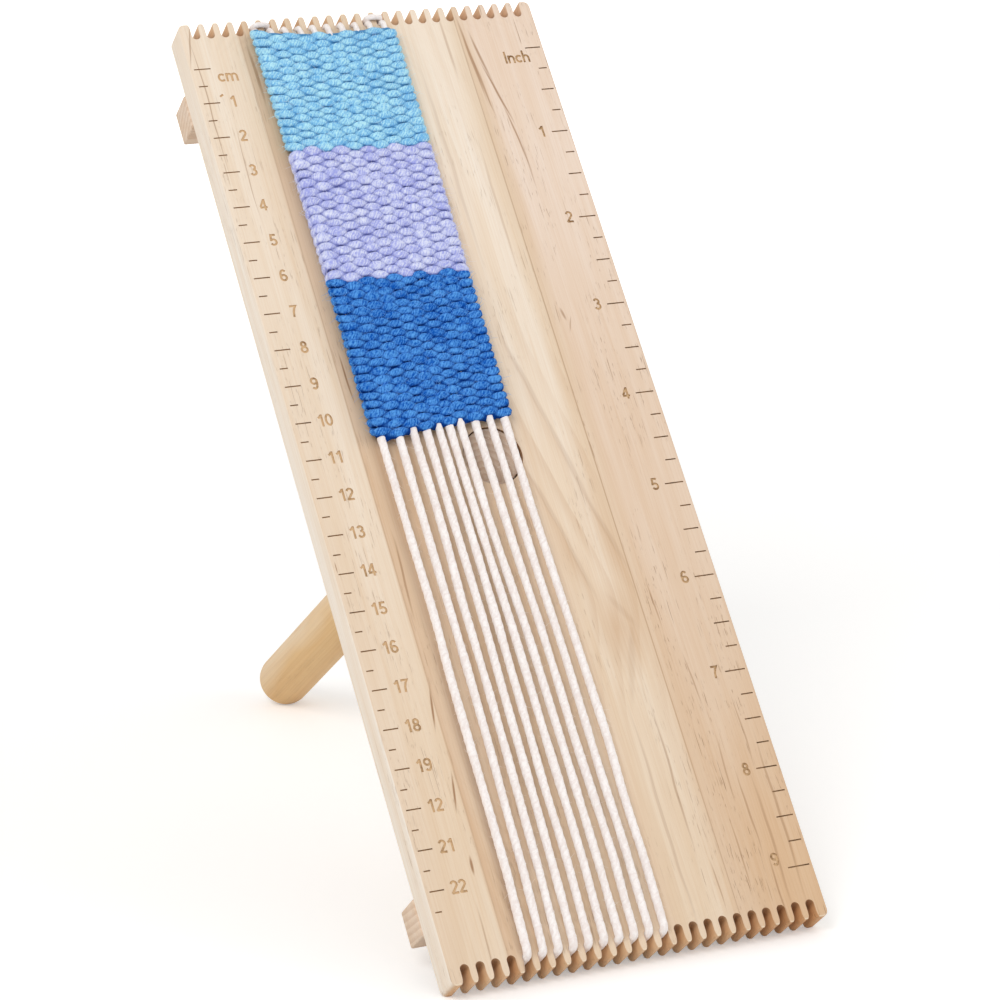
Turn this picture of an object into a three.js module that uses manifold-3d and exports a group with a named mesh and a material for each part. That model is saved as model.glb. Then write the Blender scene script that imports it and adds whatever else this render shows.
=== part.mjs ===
// A small frame loom: a slotted pine board that leans back on one round leg, strung with a white
// warp and woven part of the way down in three colours.
//
// Sizes are millimetres. The loom is laid out with its board upright: X runs across the board, Y runs
// from its front face at y = 0 to the back, and Z runs up along it from the bottom end at z = 0. At the end
// the whole loom is leant back on its leg and set down on z = 0.

import * as THREE from 'three';
import { mergeVertices } from 'three/addons/utils/BufferGeometryUtils.js';
import Module from 'manifold-3d';

const wasm = await Module();
wasm.setup();

// Board
const BOARD_WIDTH = 96.8;
const BOARD_LENGTH = 255.9;
const BOARD_THICKNESS = 8.6;
const BOARD_CORNER_RADIUS = 1.6;
const BOARD_ARRIS = 0.6;

// Slots at both ends. As many are sawn as fit between the two outer teeth.
const SLOT_PITCH = 3.85;
const SLOT_WIDTH = 2.2;
const SLOT_DEPTH = 4.6;
const OUTER_TOOTH_MIN = 2.5;
const TOOTH_TIP_CUT = 0.55;

// Battens on the back
const BATTEN_WIDTH = 9.1;
const BATTEN_THICKNESS = 9.1;
const BATTEN_INSET = 15.2;
const BATTEN_CHAMFER = 0.6;
const GLUE_GAP = 0.3;

// Leg. Its hole goes through the middle of the board a few degrees off square, so that the leg's tip
// lies nearer the board's top than its front end does.
const LEG_DIAMETER = 14.8;
const LEG_LENGTH = 184;
const LEG_RISE_DEGREES = 5.8;
const LEG_TIP_LENGTH = 5;
const LEG_END_CHAMFER = 0.4;
const LEG_CLEARANCE = 0.3;

// Warp yarn. Slots are counted from the left, from 1.
const FIRST_WARP_SLOT = 5;
const WARP_RUNS = 10;
const YARN_IN_SLOT_CLEARANCE = 0.2;
const YARN_OFF_WOOD = 0.3;
const YARN_BACK_BEND = 1.3;
const YARN_WRAP_GAP = 0.6;
const WARP_TAIL = 8;
const WARP_KNEE_BELOW_CLOTH = 2;

// Woven cloth, in three blocks of colour from the top down. A block's drop is how much lower its bottom
// edge lies at the left selvedge than at the right one.
const CLOTH_THICKNESS = 3.9;
const CLOTH_OFF_BOARD = 0.3;
const CLOTH_BELOW_BENDS = 0.3;
const SELVEDGE_OVERHANG = 1.9;
const SELVEDGE_RADIUS = 1.4;
const CHANNEL_CLEARANCE = 0.3;
const COLOUR_GAP = 0.3;
const LIGHT_BLUE_LENGTH = 34.4;
const LIGHT_BLUE_DROP = -1.5;
const LAVENDER_LENGTH = 36.9;
const LAVENDER_DROP = 0;
const BLUE_LENGTH = 41.1;
const BLUE_DROP = 1.5;

// Counts of flat facets on round shapes
const LEG_FACETS = 32;
const TIP_STEPS = 7;
const SLOT_STEPS = 6;
const CORNER_STEPS = 3;
const YARN_SIDES = 6;
const CHANNEL_SIDES = 8;
const BEND_STEPS = 2;

// Points closer than this are one point, and this many halvings find the lean
const SAME_POINT = 1e-5;
const LEAN_HALVINGS = 40;

// Values that follow from the ones above. Cutters stick out past what they cut by a margin.
const CUT_MARGIN = 1;
const SLOT_RADIUS = SLOT_WIDTH / 2;
const slotCount = Math.floor((BOARD_WIDTH - 2 * OUTER_TOOTH_MIN - SLOT_WIDTH) / SLOT_PITCH) + 1;
const firstSlotX = -SLOT_PITCH * (slotCount - 1) / 2;
const slotX = (number) => firstSlotX + SLOT_PITCH * (number - 1);
const warpDiameter = SLOT_WIDTH - 2 * YARN_IN_SLOT_CLEARANCE;
const warpRadius = warpDiameter / 2;
const legRadius = LEG_DIAMETER / 2;
const legZ = BOARD_LENGTH / 2;
const legRise = THREE.MathUtils.degToRad(LEG_RISE_DEGREES);
const legSetBack = legRadius * Math.tan(legRise);
const blocks = [
  { name: 'weft_light_blue', colour: 0x8bc0e4, length: LIGHT_BLUE_LENGTH, drop: LIGHT_BLUE_DROP },
  { name: 'weft_lavender', colour: 0xaeb3e0, length: LAVENDER_LENGTH, drop: LAVENDER_DROP },
  { name: 'weft_blue', colour: 0x3972bb, length: BLUE_LENGTH, drop: BLUE_DROP },
];

const pine = new THREE.MeshStandardMaterial({ color: 0xe3ceb4, roughness: 0.62, metalness: 0 });
const beech = new THREE.MeshStandardMaterial({ color: 0xd9c19d, roughness: 0.55, metalness: 0 });
const whiteYarn = new THREE.MeshStandardMaterial({ color: 0xf4f0ee, roughness: 0.9, metalness: 0 });

// A closed mesh as a solid that can be cut, and back again
function toSolid(geometry) {
  const bare = geometry.index ? geometry.toNonIndexed() : geometry.clone();
  bare.deleteAttribute('normal');
  bare.deleteAttribute('uv');
  const merged = mergeVertices(bare, SAME_POINT);
  const mesh = new wasm.Mesh({
    numProp: 3,
    vertProperties: new Float32Array(merged.attributes.position.array),
    triVerts: new Uint32Array(merged.index.array),
  });
  return new wasm.Manifold(mesh);
}

function toGeometry(solid) {
  const mesh = solid.getMesh();
  const geometry = new THREE.BufferGeometry();
  geometry.setAttribute('position', new THREE.BufferAttribute(mesh.vertProperties, 3));
  geometry.setIndex(new THREE.BufferAttribute(mesh.triVerts, 1));
  geometry.computeVertexNormals();
  return geometry;
}

function cutAway(geometry, cutters) {
  let solid = toSolid(geometry);
  for (const cutter of cutters) {
    solid = solid.subtract(toSolid(cutter));
  }
  return toGeometry(solid);
}

// Points of an arc in a plane, from one angle to another
function arcPoints(cx, cy, radius, from, to, steps) {
  const points = [];
  for (let i = 0; i <= steps; i += 1) {
    const angle = from + (to - from) * i / steps;
    points.push(new THREE.Vector2(cx + radius * Math.cos(angle), cy + radius * Math.sin(angle)));
  }
  return points;
}

// An outline in X and Z, given its thickness in Y from front to back
function plate(points, front, back, arris = 0) {
  const geometry = new THREE.ExtrudeGeometry(new THREE.Shape(points), {
    depth: back - front - 2 * arris,
    bevelEnabled: arris > 0,
    bevelThickness: arris,
    bevelSize: arris,
    bevelOffset: -arris,
    bevelSegments: 1,
    curveSegments: 1,
  });
  geometry.rotateX(Math.PI / 2);
  geometry.translate(0, back - arris, 0);
  return geometry;
}

// Board
function boardOutline() {
  const right = BOARD_WIDTH / 2;
  const r = BOARD_CORNER_RADIUS;
  const quarter = Math.PI / 2;
  const corners = [
    [right - r, r, -quarter],
    [right - r, BOARD_LENGTH - r, 0],
    [r - right, BOARD_LENGTH - r, quarter],
    [r - right, r, 2 * quarter],
  ];
  return corners.flatMap(([x, z, start]) => arcPoints(x, z, r, start, start + quarter, CORNER_STEPS));
}

// One saw cut, drawn for the top end: parallel walls, a round bottom, and a mouth that
// takes the corners off the teeth beside it
function slotCutter(x, atTop) {
  const mouth = BOARD_LENGTH;
  const centre = mouth - SLOT_DEPTH + SLOT_RADIUS;
  const wide = SLOT_RADIUS + TOOTH_TIP_CUT + CUT_MARGIN;
  const outline = [
    ...arcPoints(x, centre, SLOT_RADIUS, Math.PI, 2 * Math.PI, SLOT_STEPS),
    new THREE.Vector2(x + SLOT_RADIUS, mouth - TOOTH_TIP_CUT),
    new THREE.Vector2(x + wide, mouth + CUT_MARGIN),
    new THREE.Vector2(x - wide, mouth + CUT_MARGIN),
    new THREE.Vector2(x - SLOT_RADIUS, mouth - TOOTH_TIP_CUT),
  ];
  const points = atTop ? outline : outline.map((p) => new THREE.Vector2(p.x, BOARD_LENGTH - p.y)).reverse();
  return plate(points, -CUT_MARGIN, BOARD_THICKNESS + CUT_MARGIN);
}

// Something turned about Y, put on the leg's sloping centre line. The line crosses the board's front
// face in the middle of the board.
function ontoLegLine(geometry) {
  geometry.rotateX(legRise);
  geometry.translate(0, 0, legZ);
  return geometry;
}

function legHoleCutter() {
  const radius = legRadius + LEG_CLEARANCE;
  const slant = 2 * radius * Math.tan(legRise);
  const reach = BOARD_THICKNESS + slant + 2 * CUT_MARGIN;
  const hole = new THREE.CylinderGeometry(radius, radius, reach, LEG_FACETS);
  hole.translate(0, BOARD_THICKNESS / 2, 0);
  return ontoLegLine(hole);
}

function makeBoard() {
  const blank = plate(boardOutline(), 0, BOARD_THICKNESS, BOARD_ARRIS);
  const cutters = [legHoleCutter()];
  for (let number = 1; number <= slotCount; number += 1) {
    cutters.push(slotCutter(slotX(number), true));
    cutters.push(slotCutter(slotX(number), false));
  }
  return cutAway(blank, cutters);
}

// Battens. The two long back edges are chamfered, and the ends are flush with the board's sides.
function makeBatten(bottomZ) {
  const front = BOARD_THICKNESS + GLUE_GAP;
  const back = front + BATTEN_THICKNESS;
  const top = bottomZ + BATTEN_WIDTH;
  const section = new THREE.Shape([
    new THREE.Vector2(front, bottomZ),
    new THREE.Vector2(back - BATTEN_CHAMFER, bottomZ),
    new THREE.Vector2(back, bottomZ + BATTEN_CHAMFER),
    new THREE.Vector2(back, top - BATTEN_CHAMFER),
    new THREE.Vector2(back - BATTEN_CHAMFER, top),
    new THREE.Vector2(front, top),
  ]);
  const geometry = new THREE.ExtrudeGeometry(section, { depth: BOARD_WIDTH, bevelEnabled: false });
  geometry.applyMatrix4(new THREE.Matrix4().makeBasis(
    new THREE.Vector3(0, 1, 0),
    new THREE.Vector3(0, 0, 1),
    new THREE.Vector3(1, 0, 0),
  ));
  geometry.translate(-BOARD_WIDTH / 2, 0, 0);
  return geometry;
}

// Leg: a round rod with a square front end and a rounded tip. Its front end is set back just far enough
// for the upper edge to be flush with the board's face.
function makeLeg() {
  const tipStart = LEG_LENGTH - LEG_TIP_LENGTH;
  const profile = [
    new THREE.Vector2(0, 0),
    new THREE.Vector2(legRadius - LEG_END_CHAMFER, 0),
    new THREE.Vector2(legRadius, LEG_END_CHAMFER),
  ];
  for (let i = 0; i < TIP_STEPS; i += 1) {
    const angle = (Math.PI / 2) * i / TIP_STEPS;
    profile.push(new THREE.Vector2(legRadius * Math.cos(angle), tipStart + LEG_TIP_LENGTH * Math.sin(angle)));
  }
  profile.push(new THREE.Vector2(0, LEG_LENGTH));
  const geometry = new THREE.LatheGeometry(profile, LEG_FACETS);
  geometry.translate(0, legSetBack, 0);
  return ontoLegLine(geometry);
}

// A line of points with every corner rounded to its own radius. Each corner is { at, radius }.
function roundedRoute(corners) {
  const route = [corners[0].at.clone()];
  for (let i = 1; i < corners.length - 1; i += 1) {
    const { at, radius } = corners[i];
    const inward = corners[i - 1].at.clone().sub(at).normalize();
    const outward = corners[i + 1].at.clone().sub(at).normalize();
    const half = inward.angleTo(outward) / 2;
    if (radius === 0) {
      route.push(at.clone());
      continue;
    }
    const reach = radius / Math.tan(half);
    const centre = at.clone().add(inward.clone().add(outward).setLength(radius / Math.sin(half)));
    const start = at.clone().addScaledVector(inward, reach).sub(centre);
    const end = at.clone().addScaledVector(outward, reach).sub(centre);
    const axis = start.clone().cross(end).normalize();
    const sweep = start.angleTo(end);
    for (let step = 0; step <= BEND_STEPS; step += 1) {
      route.push(start.clone().applyAxisAngle(axis, sweep * step / BEND_STEPS).add(centre));
    }
  }
  route.push(corners[corners.length - 1].at.clone());
  return route;
}

// A curve that passes through its points in straight steps, one step per division
class StepCurve extends THREE.Curve {
  constructor(points) {
    super();
    this.points = points;
  }

  getPoint(t, target = new THREE.Vector3()) {
    const place = t * (this.points.length - 1);
    const index = Math.min(Math.floor(place), this.points.length - 2);
    return target.lerpVectors(this.points[index], this.points[index + 1], place - index);
  }

  getPointAt(u, target) {
    return this.getPoint(u, target);
  }

  getTangent(t, target = new THREE.Vector3()) {
    const index = Math.round(t * (this.points.length - 1));
    const before = this.points[Math.max(index - 1, 0)];
    const after = this.points[Math.min(index + 1, this.points.length - 1)];
    const here = this.points[index];
    const arriving = here.clone().sub(before).normalize();
    const leaving = after.clone().sub(here).normalize();
    return target.copy(arriving.add(leaving).normalize());
  }

  getTangentAt(u, target) {
    return this.getTangent(u, target);
  }
}

function tubeAlong(points, radius, sides) {
  const section = new THREE.Shape(arcPoints(0, 0, radius, 0, 2 * Math.PI * (sides - 1) / sides, sides - 1));
  return new THREE.ExtrudeGeometry(section, {
    steps: points.length - 1,
    extrudePath: new StepCurve(points),
    bevelEnabled: false,
    curveSegments: 1,
  });
}

// Warp levels. In a slot the yarn lies on the slot's bottom; the wrap that ties each end lies above it.
const warpFrontY = -(CLOTH_OFF_BOARD + CLOTH_THICKNESS / 2);
const warpRestY = -(warpRadius + YARN_OFF_WOOD);
const warpBackY = BOARD_THICKNESS + warpRadius + YARN_OFF_WOOD;
const seatFromEnd = SLOT_DEPTH - warpRadius - YARN_IN_SLOT_CLEARANCE;
const topSeatZ = BOARD_LENGTH - seatFromEnd;
const bottomSeatZ = seatFromEnd;
const wrapZ = topSeatZ + warpDiameter + YARN_WRAP_GAP;
const clothTopZ = topSeatZ + warpFrontY - CLOTH_BELOW_BENDS;
const clothLength = blocks.reduce((sum, block) => sum + block.length + COLOUR_GAP, 0);
const kneeZ = clothTopZ - clothLength - blocks[blocks.length - 1].drop / 2 - WARP_KNEE_BELOW_CLOTH;

function corner(x, y, z, radius) {
  return { at: new THREE.Vector3(x, y, z), radius };
}

// The end of the yarn: out of the end slot behind the board, round the first tooth inside it by way of
// the neighbouring slot, and off to the side as a short tail. side is +1 where the warp lies to the right.
function endWrap(slotNumber, side) {
  const here = slotX(slotNumber);
  const next = slotX(slotNumber + side);
  return [
    corner(here - side * WARP_TAIL, warpBackY, wrapZ, 0),
    corner(here, warpBackY, wrapZ, YARN_BACK_BEND),
    corner(here, warpRestY, wrapZ, -warpRestY),
    corner(next, warpRestY, wrapZ, -warpRestY),
    corner(next, warpBackY, wrapZ, YARN_BACK_BEND),
    corner(here, warpBackY, topSeatZ, YARN_BACK_BEND),
  ];
}

function warpRoute() {
  const corners = endWrap(FIRST_WARP_SLOT, 1);
  for (let run = 0; run < WARP_RUNS; run += 1) {
    const x = slotX(FIRST_WARP_SLOT + run);
    const down = [
      corner(x, warpBackY, topSeatZ, YARN_BACK_BEND),
      corner(x, warpFrontY, topSeatZ, -warpFrontY),
      corner(x, warpFrontY, kneeZ, 0),
      corner(x, warpRestY, bottomSeatZ, -warpRestY),
      corner(x, warpBackY, bottomSeatZ, YARN_BACK_BEND),
    ];
    const ordered = run % 2 === 0 ? down : down.reverse();
    corners.push(...(run === 0 ? ordered.slice(1) : ordered));
  }
  const last = endWrap(FIRST_WARP_SLOT + WARP_RUNS - 1, -1).reverse();
  corners.push(...last.slice(1));
  return roundedRoute(corners);
}

// The least gap between two stretches of a winding, measured on points at most half a diameter apart.
// Points closer than a few diameters along the yarn belong to one bend and aren't compared.
function leastGap(points, diameter) {
  const step = diameter / 2;
  const oneBend = 4 * diameter;
  const samples = [];
  let along = 0;
  for (let i = 1; i < points.length; i += 1) {
    const length = points[i - 1].distanceTo(points[i]);
    const pieces = Math.max(1, Math.ceil(length / step));
    for (let j = 0; j < pieces; j += 1) {
      const at = points[i - 1].clone().lerp(points[i], j / pieces);
      samples.push({ at, along: along + length * j / pieces });
    }
    along += length;
  }
  let least = Infinity;
  for (let i = 0; i < samples.length; i += 1) {
    for (let j = i + 1; j < samples.length; j += 1) {
      if (samples[j].along - samples[i].along > oneBend) {
        least = Math.min(least, samples[i].at.distanceTo(samples[j].at));
      }
    }
  }
  return { gap: least - diameter, length: along };
}

// Cloth. A flat block with round selvedges, and a channel for every run of the warp.
function makeBlock(block, topZ, topDrop) {
  const left = slotX(FIRST_WARP_SLOT) - SELVEDGE_OVERHANG;
  const right = slotX(FIRST_WARP_SLOT + WARP_RUNS - 1) + SELVEDGE_OVERHANG;
  const back = -CLOTH_OFF_BOARD;
  const front = back - CLOTH_THICKNESS;
  const r = SELVEDGE_RADIUS;
  const quarter = Math.PI / 2;
  const section = new THREE.Shape([
    ...arcPoints(right - r, back - r, r, 0, quarter, CORNER_STEPS),
    ...arcPoints(left + r, back - r, r, quarter, 2 * quarter, CORNER_STEPS),
    ...arcPoints(left + r, front + r, r, 2 * quarter, 3 * quarter, CORNER_STEPS),
    ...arcPoints(right - r, front + r, r, 3 * quarter, 4 * quarter, CORNER_STEPS),
  ]);
  const geometry = new THREE.ExtrudeGeometry(section, { depth: block.length, bevelEnabled: false });
  geometry.translate(0, 0, topZ - block.length);
  const positions = geometry.attributes.position;
  for (let i = 0; i < positions.count; i += 1) {
    const drop = positions.getZ(i) > topZ - block.length / 2 ? topDrop : block.drop;
    const share = (right - positions.getX(i)) / (right - left) - 0.5;
    positions.setZ(i, positions.getZ(i) - drop * share);
  }
  const channels = [];
  for (let run = 0; run < WARP_RUNS; run += 1) {
    const radius = warpRadius + CHANNEL_CLEARANCE;
    const reach = block.length + Math.abs(topDrop) + Math.abs(block.drop) + 2 * CUT_MARGIN;
    const channel = new THREE.CylinderGeometry(radius, radius, reach, CHANNEL_SIDES);
    channel.rotateX(Math.PI / 2);
    channel.translate(slotX(FIRST_WARP_SLOT + run), warpFrontY, topZ - block.length / 2);
    channels.push(channel);
  }
  return cutAway(geometry, channels);
}

// How far the loom leans back from upright when the board's lower back edge and the leg's rounded tip
// both touch the floor. A point's height is z cos(lean) - y sin(lean).
function leanAngle() {
  const edge = [[BOARD_THICKNESS, BOARD_ARRIS], [BOARD_THICKNESS - BOARD_ARRIS, 0]];
  const tipAlong = legSetBack + LEG_LENGTH - LEG_TIP_LENGTH;
  const tipY = tipAlong * Math.cos(legRise);
  const tipZ = legZ + tipAlong * Math.sin(legRise);
  const tipOverEdge = (lean) => {
    const sin = Math.sin(lean);
    const cos = Math.cos(lean);
    const edgeHeight = Math.min(...edge.map(([y, z]) => z * cos - y * sin));
    const slope = lean - legRise;
    const tipDrop = Math.hypot(LEG_TIP_LENGTH * Math.sin(slope), legRadius * Math.cos(slope));
    return tipZ * cos - tipY * sin - tipDrop - edgeHeight;
  };
  let low = 0;
  let high = Math.PI / 2;
  for (let i = 0; i < LEAN_HALVINGS; i += 1) {
    const middle = (low + high) / 2;
    if (tipOverEdge(middle) > 0) {
      low = middle;
    } else {
      high = middle;
    }
  }
  return low;
}

// The assembly
const loom = new THREE.Group();

function addPart(name, geometry, material) {
  const mesh = new THREE.Mesh(geometry, material);
  mesh.name = name;
  loom.add(mesh);
}

addPart('board', makeBoard(), pine);
addPart('top_batten', makeBatten(BOARD_LENGTH - BATTEN_INSET - BATTEN_WIDTH), pine);
addPart('bottom_batten', makeBatten(BATTEN_INSET), pine);
addPart('leg', makeLeg(), beech);

const route = warpRoute();
addPart('warp', tubeAlong(route, warpRadius, YARN_SIDES), whiteYarn);
const measured = leastGap(route, warpDiameter);
console.log(`warp: ${route.length - 1} steps, ${measured.length.toFixed(0)} mm long`);
console.log(`warp: least gap to itself ${measured.gap.toFixed(2)} mm`);

let blockTop = clothTopZ;
let blockTopDrop = 0;
for (const block of blocks) {
  const material = new THREE.MeshStandardMaterial({ color: block.colour, roughness: 0.95, metalness: 0 });
  addPart(block.name, makeBlock(block, blockTop, blockTopDrop), material);
  blockTop -= block.length + COLOUR_GAP;
  blockTopDrop = block.drop;
}

// Lean the loom back on its leg, then set it down with the middle of its outer box over the origin
const lean = leanAngle();
loom.rotation.x = -lean;
loom.updateMatrixWorld(true);
const bounds = new THREE.Box3().setFromObject(loom, true);
const middle = bounds.getCenter(new THREE.Vector3());
loom.position.set(-middle.x, -middle.y, -bounds.min.z);
console.log(`the board leans back ${THREE.MathUtils.radToDeg(lean).toFixed(2)} degrees from upright`);
console.log(`loom: moved by ${loom.position.toArray().map((v) => v.toFixed(3)).join(', ')}`);

export default loom;
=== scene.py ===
# %% [markdown]
# # A small frame loom, dressed in Blender
# The loom is a pale pine board with a comb of slots sawn into each end and two rulers burnt into its face.
# It leans back on one round leg. A white warp is strung over ten of the slots, and three colours of wool are
# woven into it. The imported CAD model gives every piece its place, so this lesson builds each piece at its
# real size, and then leans it back onto that frame.

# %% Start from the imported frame
import math

import bmesh
import bpy
import numpy as np
from mathutils import Euler, Matrix, Vector


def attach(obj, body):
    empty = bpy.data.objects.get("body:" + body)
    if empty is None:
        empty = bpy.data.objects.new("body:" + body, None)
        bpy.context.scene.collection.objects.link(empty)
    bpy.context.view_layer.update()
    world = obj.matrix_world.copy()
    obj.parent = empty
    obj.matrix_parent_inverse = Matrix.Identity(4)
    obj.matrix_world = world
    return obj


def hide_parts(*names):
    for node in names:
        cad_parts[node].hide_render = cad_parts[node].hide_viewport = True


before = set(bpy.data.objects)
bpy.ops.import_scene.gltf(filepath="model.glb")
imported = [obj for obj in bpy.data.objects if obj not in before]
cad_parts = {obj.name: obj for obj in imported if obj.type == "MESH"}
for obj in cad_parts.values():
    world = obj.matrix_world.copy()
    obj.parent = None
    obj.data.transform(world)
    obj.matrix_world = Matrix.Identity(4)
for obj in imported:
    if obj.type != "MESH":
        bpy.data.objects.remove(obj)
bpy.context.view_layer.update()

scene = bpy.context.scene
print("CAD nodes:", sorted(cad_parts))

# %% [markdown]
# ## Two frames
# The board is easiest to build standing upright: X runs across it, Y from its front face to its back, and Z
# up along it. The real loom leans back until the leg touches the floor. Every piece is modelled upright in
# millimetres turned to metres, then one rotation and one move put it on the frame.

# %% The lean and the stand
MM = 0.001
LEAN = math.radians(38.81338)
STAND = Vector((0, -118.547, 5.014)) * MM


def only(*pieces):
    """Select these pieces alone, in object mode."""
    if bpy.context.mode != "OBJECT":
        bpy.ops.object.mode_set(mode="OBJECT")
    bpy.ops.object.select_all(action="DESELECT")
    for piece in pieces:
        piece.select_set(True)
    bpy.context.view_layer.objects.active = pieces[0]


def apply_place(piece):
    only(piece)
    bpy.ops.object.transform_apply(location=True, rotation=True, scale=True)


def lean_back(piece):
    """Put an upright piece on the frame, with its place in its mesh."""
    apply_place(piece)
    piece.rotation_euler = (-LEAN, 0, 0)
    piece.location = STAND
    apply_place(piece)


def apply_modifier(piece, kind, **settings):
    only(piece)
    modifier = piece.modifiers.new(kind.lower(), kind)
    for name, value in settings.items():
        setattr(modifier, name, value)
    bpy.ops.object.modifier_apply(modifier=modifier.name)


def report(piece):
    piece.data.calc_loop_triangles()
    print(f"{piece.name}: {len(piece.data.loop_triangles)} triangles")


# %% [markdown]
# ## The camera
# The loom was photographed from the left and a little above, with a long lens. The camera comes first, so
# that every later step can be judged in the picture.

# %% Camera
bpy.ops.object.camera_add(location=(-0.33478, -0.79267, 0.30313))
camera = bpy.context.object
camera.rotation_euler = Euler((math.radians(75.7482), math.radians(1.1555), math.radians(-24.3295)))
camera.data.sensor_width = 36
camera.data.lens = 125.933
camera.data.clip_start = 0.01
scene.camera = camera
scene.view_settings.view_transform = "Standard"
print(f"camera: {camera.data.lens:.1f} mm lens at {tuple(round(v, 3) for v in camera.location)}")

# %% [markdown]
# ## Light, floor and background
# A product photograph like this has large soft lamps all round and a white sheet. One large lamp stands at
# the upper left, a weaker one at the right, and the world fills the rest. What the camera sees of the world
# is plain white, which the Light Path node can do without putting more light on the loom.

# %% Lamps
LAMP_TARGET = Vector((0, 0, 0.1))


def soft_lamp(name, location, size, power):
    """A round area lamp that points at the middle of the loom."""
    bpy.ops.object.light_add(type="AREA", location=location)
    lamp = bpy.context.object
    lamp.name = name
    lamp.data.shape = "DISK"
    lamp.data.size = size
    lamp.data.energy = power
    lamp.rotation_euler = (LAMP_TARGET - Vector(location)).to_track_quat("-Z", "Y").to_euler()
    print(f"{name}: {size} m across, {power} W")


soft_lamp("key_lamp", (-1.1, -1.0, 1.5), 1.0, 14)
soft_lamp("fill_lamp", (1.2, -1.1, 0.9), 1.2, 5)

# %% World
FILL_COLOUR = (1.0, 0.985, 0.96, 1)
FILL_STRENGTH = 0.62
world = bpy.data.worlds.new("studio")
scene.world = world
world.use_nodes = True
tree = world.node_tree
tree.nodes.clear()
path = tree.nodes.new("ShaderNodeLightPath")
seen = tree.nodes.new("ShaderNodeMath")
seen.operation = "MAXIMUM"
glossy_or_clear = tree.nodes.new("ShaderNodeMath")
glossy_or_clear.operation = "MAXIMUM"
tree.links.new(path.outputs["Is Glossy Ray"], glossy_or_clear.inputs[0])
tree.links.new(path.outputs["Is Transmission Ray"], glossy_or_clear.inputs[1])
tree.links.new(path.outputs["Is Camera Ray"], seen.inputs[0])
tree.links.new(glossy_or_clear.outputs[0], seen.inputs[1])
fill = tree.nodes.new("ShaderNodeBackground")
fill.inputs["Color"].default_value = FILL_COLOUR
fill.inputs["Strength"].default_value = FILL_STRENGTH
white = tree.nodes.new("ShaderNodeBackground")
white.inputs["Color"].default_value = (1, 1, 1, 1)
white.inputs["Strength"].default_value = 1
choose = tree.nodes.new("ShaderNodeMixShader")
tree.links.new(seen.outputs[0], choose.inputs[0])
tree.links.new(fill.outputs[0], choose.inputs[1])
tree.links.new(white.outputs[0], choose.inputs[2])
out = tree.nodes.new("ShaderNodeOutputWorld")
tree.links.new(choose.outputs[0], out.inputs[0])
print("world: white to the camera, soft fill on the loom")


# %% [markdown]
# ## A short way to write materials
# Every finish below is a small graph of shader nodes. The helper class adds a node, joins what is a socket
# and writes down what is a number, so that a material reads from top to bottom like a recipe.


# %% Shader helper
RIGHT_THROUGH = 10000    # millimetres, so that a mark is the same at every depth


def srgb(*screen):
    """A colour as it is read off a screen, 0 to 255, as the linear colour that Blender works in."""
    shares = [value / 255 for value in screen]
    linear = [share / 12.92 if share < 0.0404 else ((share + 0.055) / 1.055) ** 2.4 for share in shares]
    return (*linear, 1.0)


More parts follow.
